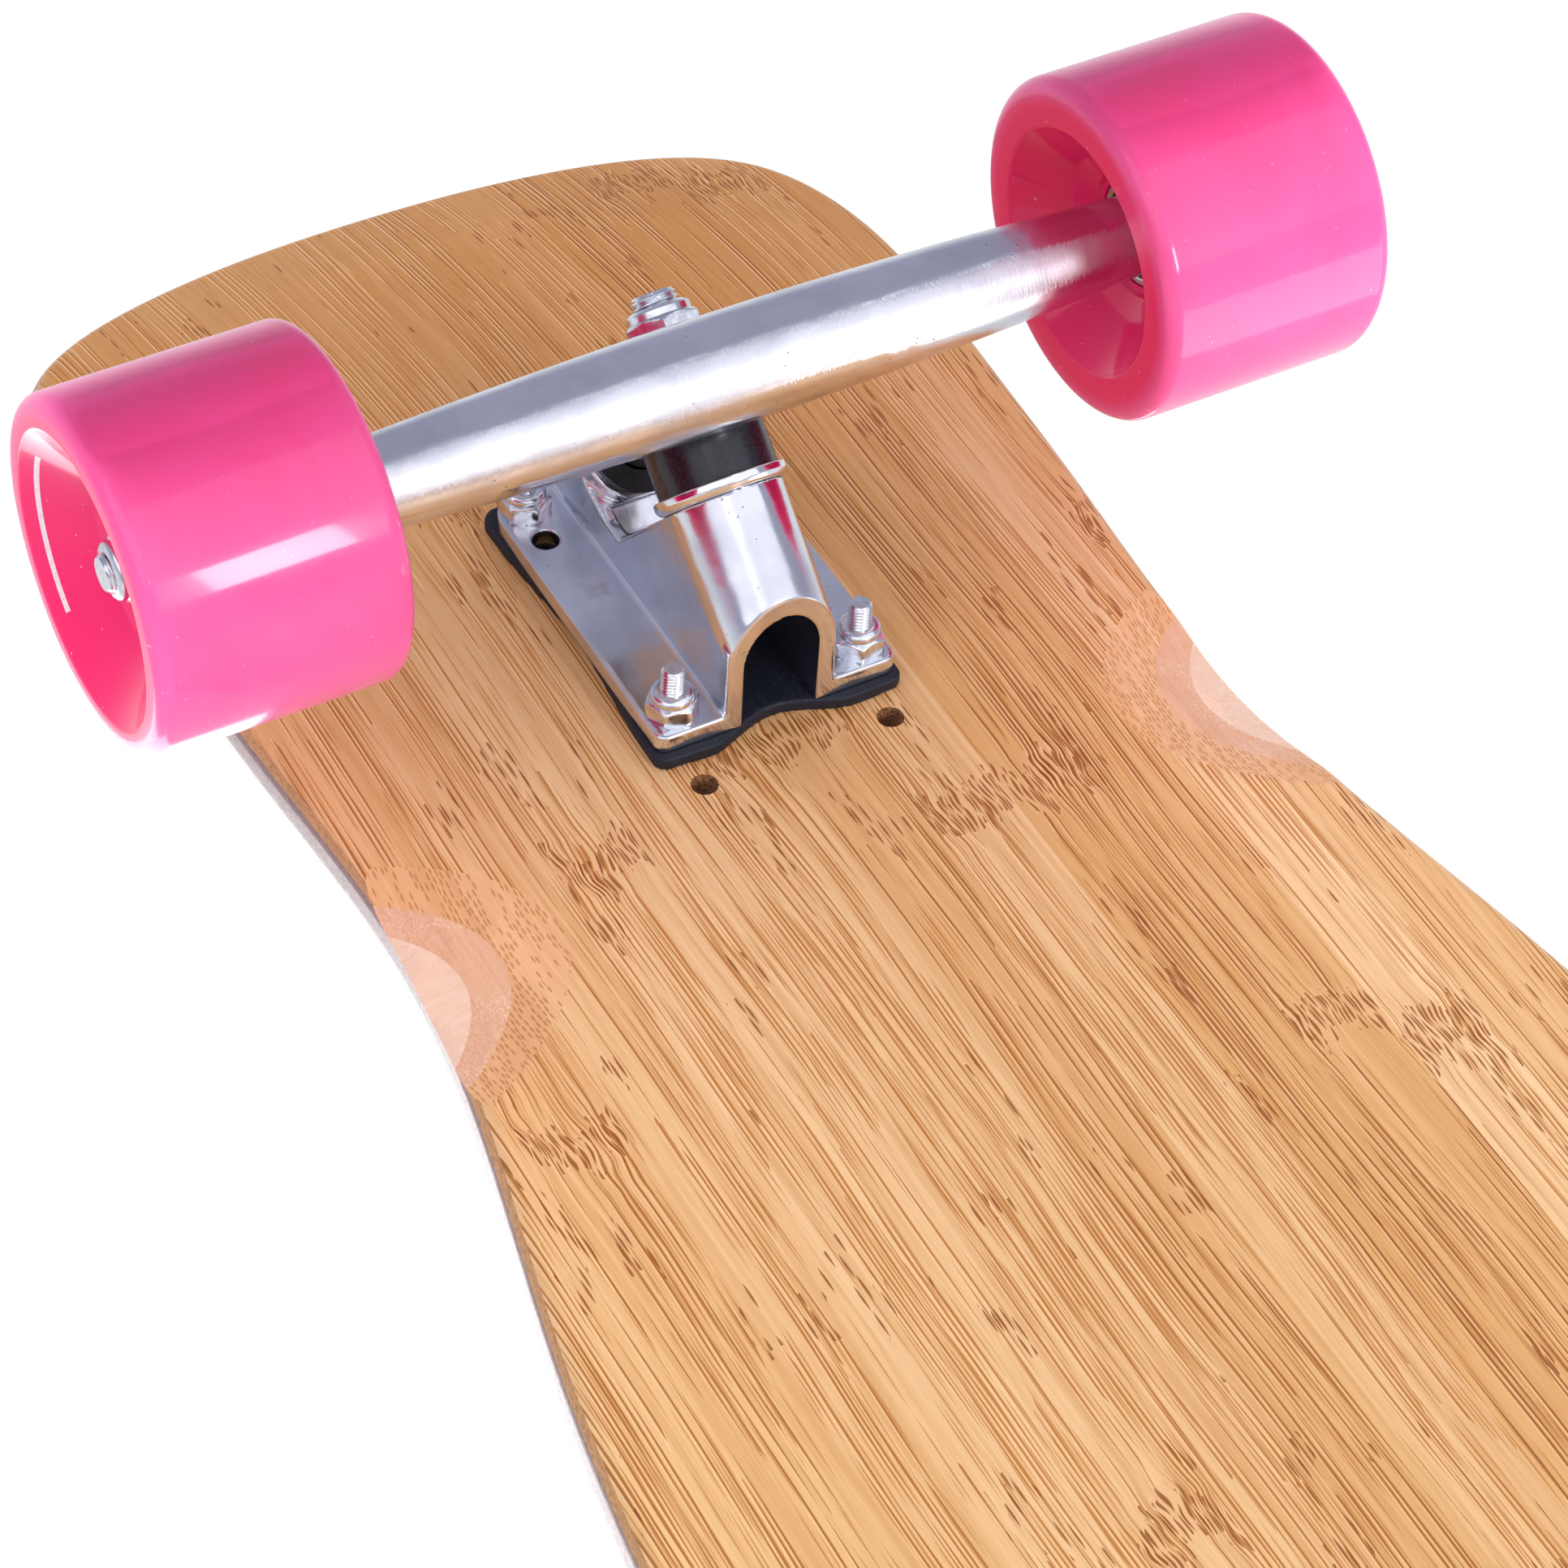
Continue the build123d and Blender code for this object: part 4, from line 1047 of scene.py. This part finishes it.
def screw_mesh():
    """Countersunk screw about the deck's underside: head up, thread down."""
    top = DECK_THICK + TAPE_THICK
    shank_outline = [(0, top - 0.9), (2.2, top - 0.9), (2.5, top), (4.7, top), (4.7, top - 0.25),
                     (2.4, top - 2.6), (2.4, -12.6), (0, -12.6)]
    thread = thread_mesh("screw_thread", SCREW_RADIUS, 0.794, 12.6, 19.1)
    turned = Matrix.Rotation(math.pi, 4, "X")
    return merged("screw", [(lathe("shank", shank_outline, 32), STAY), (thread, turned)])


def build_fasteners():
    screw = screw_mesh()
    nut = nut_mesh("mounting_nut", 9.5, 4.6, 6.3, SCREW_RADIUS - 0.1)
    for end in ENDS:
        screws, nuts = [], []
        for k, (_, at) in enumerate(p for p in screw_places() if p[0] == end):
            screws.append((screw, Matrix.Translation(at + Vector((0, 0, UNDERSIDE * MM)))))
            spin = Matrix.Rotation(math.radians(17 + 23 * k), 4, "Z")
            down = Matrix.Translation(at + Vector((0, 0, PLATE_FACE))) @ Matrix.Rotation(math.pi, 4, "X")
            nuts.append((nut, down @ spin))
        for kind, mesh, node in (("screws", merged("screws", screws), "mounting_screws"),
                                 ("locknuts", merged("nuts", nuts), "mounting_nuts")):
            piece(f"{end}_{kind}", mesh, ZINC, "deck", [f"{end}_{node}"], "zinc_steel")


def build_axles():
    """Axle, its nuts, the speed rings and the spacers of each truck."""
    start = (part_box("front_axle_nuts")[1].y - 0.0071) / MM
    shank = lathe("axle_shank", [(0, -start), (4.0, -start), (4.0, start), (0, start)], 48)
    tip = thread_mesh("axle_thread", 4.0, FINE_PITCH, start, AXLE_HALF)
    nut = nut_mesh("axle_nut", 12.7, 5.4, 7.1, 3.9)
    washer = lathe("speed_ring", softened([(5.6, 0.0, 0.2), (5.6, 1.2, 0.2), (4.0, 1.2), (4.0, 0.0)]), 48)
    tube = lathe("spacer", softened([(5.0, -5, 0.3), (5.0, 5, 0.3), (4.0, 5), (4.0, -5)]), 48)
    sides = [Matrix.Rotation(-s * math.pi / 2, 4, "X") for s in SIDES.values()]
    middle = abs(WHEEL_AT["front", "left"].y) / MM

    def out(height):
        return Matrix.Translation((0, 0, height * MM))

    for end in ENDS:
        body = f"{end}_hanger"
        place = end_turn(end) @ Matrix.Translation(AXLE_AT)
        rod = merged("axle_rod", [(shank, sides[0])] + [(tip, s) for s in sides])
        piece(f"{end}_axle_rod", rod, ZINC, body, [f"{end}_axle"], "zinc_steel", place)
        nuts = merged("axle_nuts", [(nut, s @ out(start)) for s in sides])
        piece(f"{end}_axle_locknuts", nuts, ZINC, body, [f"{end}_axle_nuts"], "zinc_steel", place)
        washers = merged("washers", [(washer, s @ out(h)) for s in sides for h in (HANGER_HALF, start - 1.2)])
        piece(f"{end}_washers", washers, ZINC, body, [f"{end}_speed_rings"], "zinc_steel", place)
        tubes = merged("spacers", [(tube, s @ out(middle)) for s in sides])
        piece(f"{end}_spacers", tubes, ZINC, body, [f"{end}_bearing_spacers"], "zinc_steel", place)


def build_pads():
    """Riser pads keep their CAD shape with softened edges. Pivot cups keep their CAD shape as it is, in
    plastic.
    """
    for end in ENDS:
        pad = cast_from_node(f"{end}_riser_pad", 0.5, 3)
        piece(f"{end}_riser_rubber", pad, RUBBER, "deck", [f"{end}_riser_pad"], "riser_rubber")
        cup = frame["nodes"][f"{end}_pivot_cup"]
        for slot in cup.material_slots:
            slot.material = PLASTIC


build_castings()
build_bushings()
build_fasteners()
build_axles()
build_pads()


# ---- stage ---------------------------------------------------------------------------------------------
def floor():
    """Pale floor under the wheels, seen only from above, so the camera under the board looks through it."""
    reach = 12000.0
    corners = [(reach * a, reach * b, 0) for a, b in ((-1, -1), (1, -1), (1, 1), (-1, 1))]
    mesh = mesh_from("floor", corners, [(0, 1, 2, 3)])
    n = Nodes("floor_pale")
    mottle = n.noise(n.place, scale=0.002, detail=3.0)
    n.finish(n.mix(n.band(mottle, 0.3, 0.7), rgb(0.90, 0.90, 0.90), rgb(0.86, 0.86, 0.86)), 0.75)
    nodes, links = n.tree.nodes, n.tree.links
    side, clear, mix = (nodes.new("ShaderNode" + k) for k in ("NewGeometry", "BsdfTransparent", "MixShader"))
    links.new(side.outputs["Backfacing"], mix.inputs["Fac"])
    links.new(n.shader.outputs[0], mix.inputs[1])
    links.new(clear.outputs[0], mix.inputs[2])
    links.new(mix.outputs[0], nodes["Material Output"].inputs["Surface"])
    obj = temporary("floor", mesh)
    obj.data.materials.append(n.material)
    obj.visible_shadow = False
    obj.visible_glossy = False


def soft_light(name, place, target, size, watts):
    """Rectangular lamp that faces its target and isn't seen itself."""
    light = bpy.data.lights.new(name, "AREA")
    light.shape = "RECTANGLE"
    light.size, light.size_y = size
    light.energy = watts
    obj = bpy.data.objects.new(name, light)
    bpy.context.scene.collection.objects.link(obj)
    obj.location = place
    obj.rotation_euler = (Vector(target) - Vector(place)).to_track_quat("-Z", "Y").to_euler()
    obj.visible_camera = False


def sky():
    """White to the camera. Light and reflections get a pale studio above and a blue-grey one below."""
    world = bpy.data.worlds.new("studio")
    bpy.context.scene.world = world
    world.use_nodes = True
    nodes, links = world.node_tree.nodes, world.node_tree.links
    seen, lit = nodes["Background"], nodes.new("ShaderNodeBackground")
    ray, mix = nodes.new("ShaderNodeLightPath"), nodes.new("ShaderNodeMixShader")
    place, split = nodes.new("ShaderNodeTexCoord"), nodes.new("ShaderNodeSeparateXYZ")
    ramp = nodes.new("ShaderNodeValToRGB")
    low, high = ramp.color_ramp.elements
    low.position, low.color = 0.40, (0.36, 0.37, 0.48, 1)
    high.position, high.color = 0.62, (0.80, 0.82, 0.86, 1)
    height = nodes.new("ShaderNodeMath")
    height.operation = "MULTIPLY_ADD"
    height.inputs[1].default_value = height.inputs[2].default_value = 0.5
    links.new(place.outputs["Generated"], split.inputs[0])
    links.new(split.outputs["Z"], height.inputs[0])
    links.new(height.outputs[0], ramp.inputs["Fac"])
    links.new(ramp.outputs["Color"], lit.inputs["Color"])
    seen.inputs["Color"].default_value = (1, 1, 1, 1)
    links.new(ray.outputs["Is Camera Ray"], mix.inputs["Fac"])
    links.new(lit.outputs[0], mix.inputs[1])
    links.new(seen.outputs[0], mix.inputs[2])
    links.new(mix.outputs[0], nodes["World Output"].inputs["Surface"])


def camera():
    """Long lens under and behind the front truck, looking up at the underside."""
    data = bpy.data.cameras.new("camera")
    data.sensor_width = 36.0
    data.lens = 117.96
    obj = bpy.data.objects.new("camera", data)
    bpy.context.scene.collection.objects.link(obj)
    from_axle = Vector((-632.3, -363.9, -649.1)) * MM
    obj.location = AXLE_AT + from_axle
    obj.rotation_euler = [math.radians(a) for a in (-136.262, 2.522, 118.671)]
    bpy.context.scene.camera = obj


floor()
sky()
camera()
LIGHTS = [
    # name, direction from the front truck, distance, size, radiance
    ("strip_inboard", (-0.86, 0.22, -0.40), 1.6, (0.30, 0.42), 19.0),
    ("fill_right_below", (-0.25, -0.70, -0.67), 1.5, (1.6, 1.2), 0.85),
    ("fill_camera_side", (-0.66, 0.20, -0.72), 1.7, (2.6, 2.0), 0.76),
    ("key_above", (0.35, -0.15, 0.92), 1.8, (1.5, 1.5), 3.0),
    ("fill_above", (-0.75, 0.50, 0.45), 2.2, (1.6, 1.2), 2.2),
]
for light_name, direction, distance, light_size, radiance in LIGHTS:
    target = Vector((0.3, 0, 0.06))
    place = target + Vector(direction).normalized() * distance
    soft_light(light_name, place, target, light_size, radiance * math.pi * light_size[0] * light_size[1])
bpy.context.scene.view_settings.view_transform = "Standard"
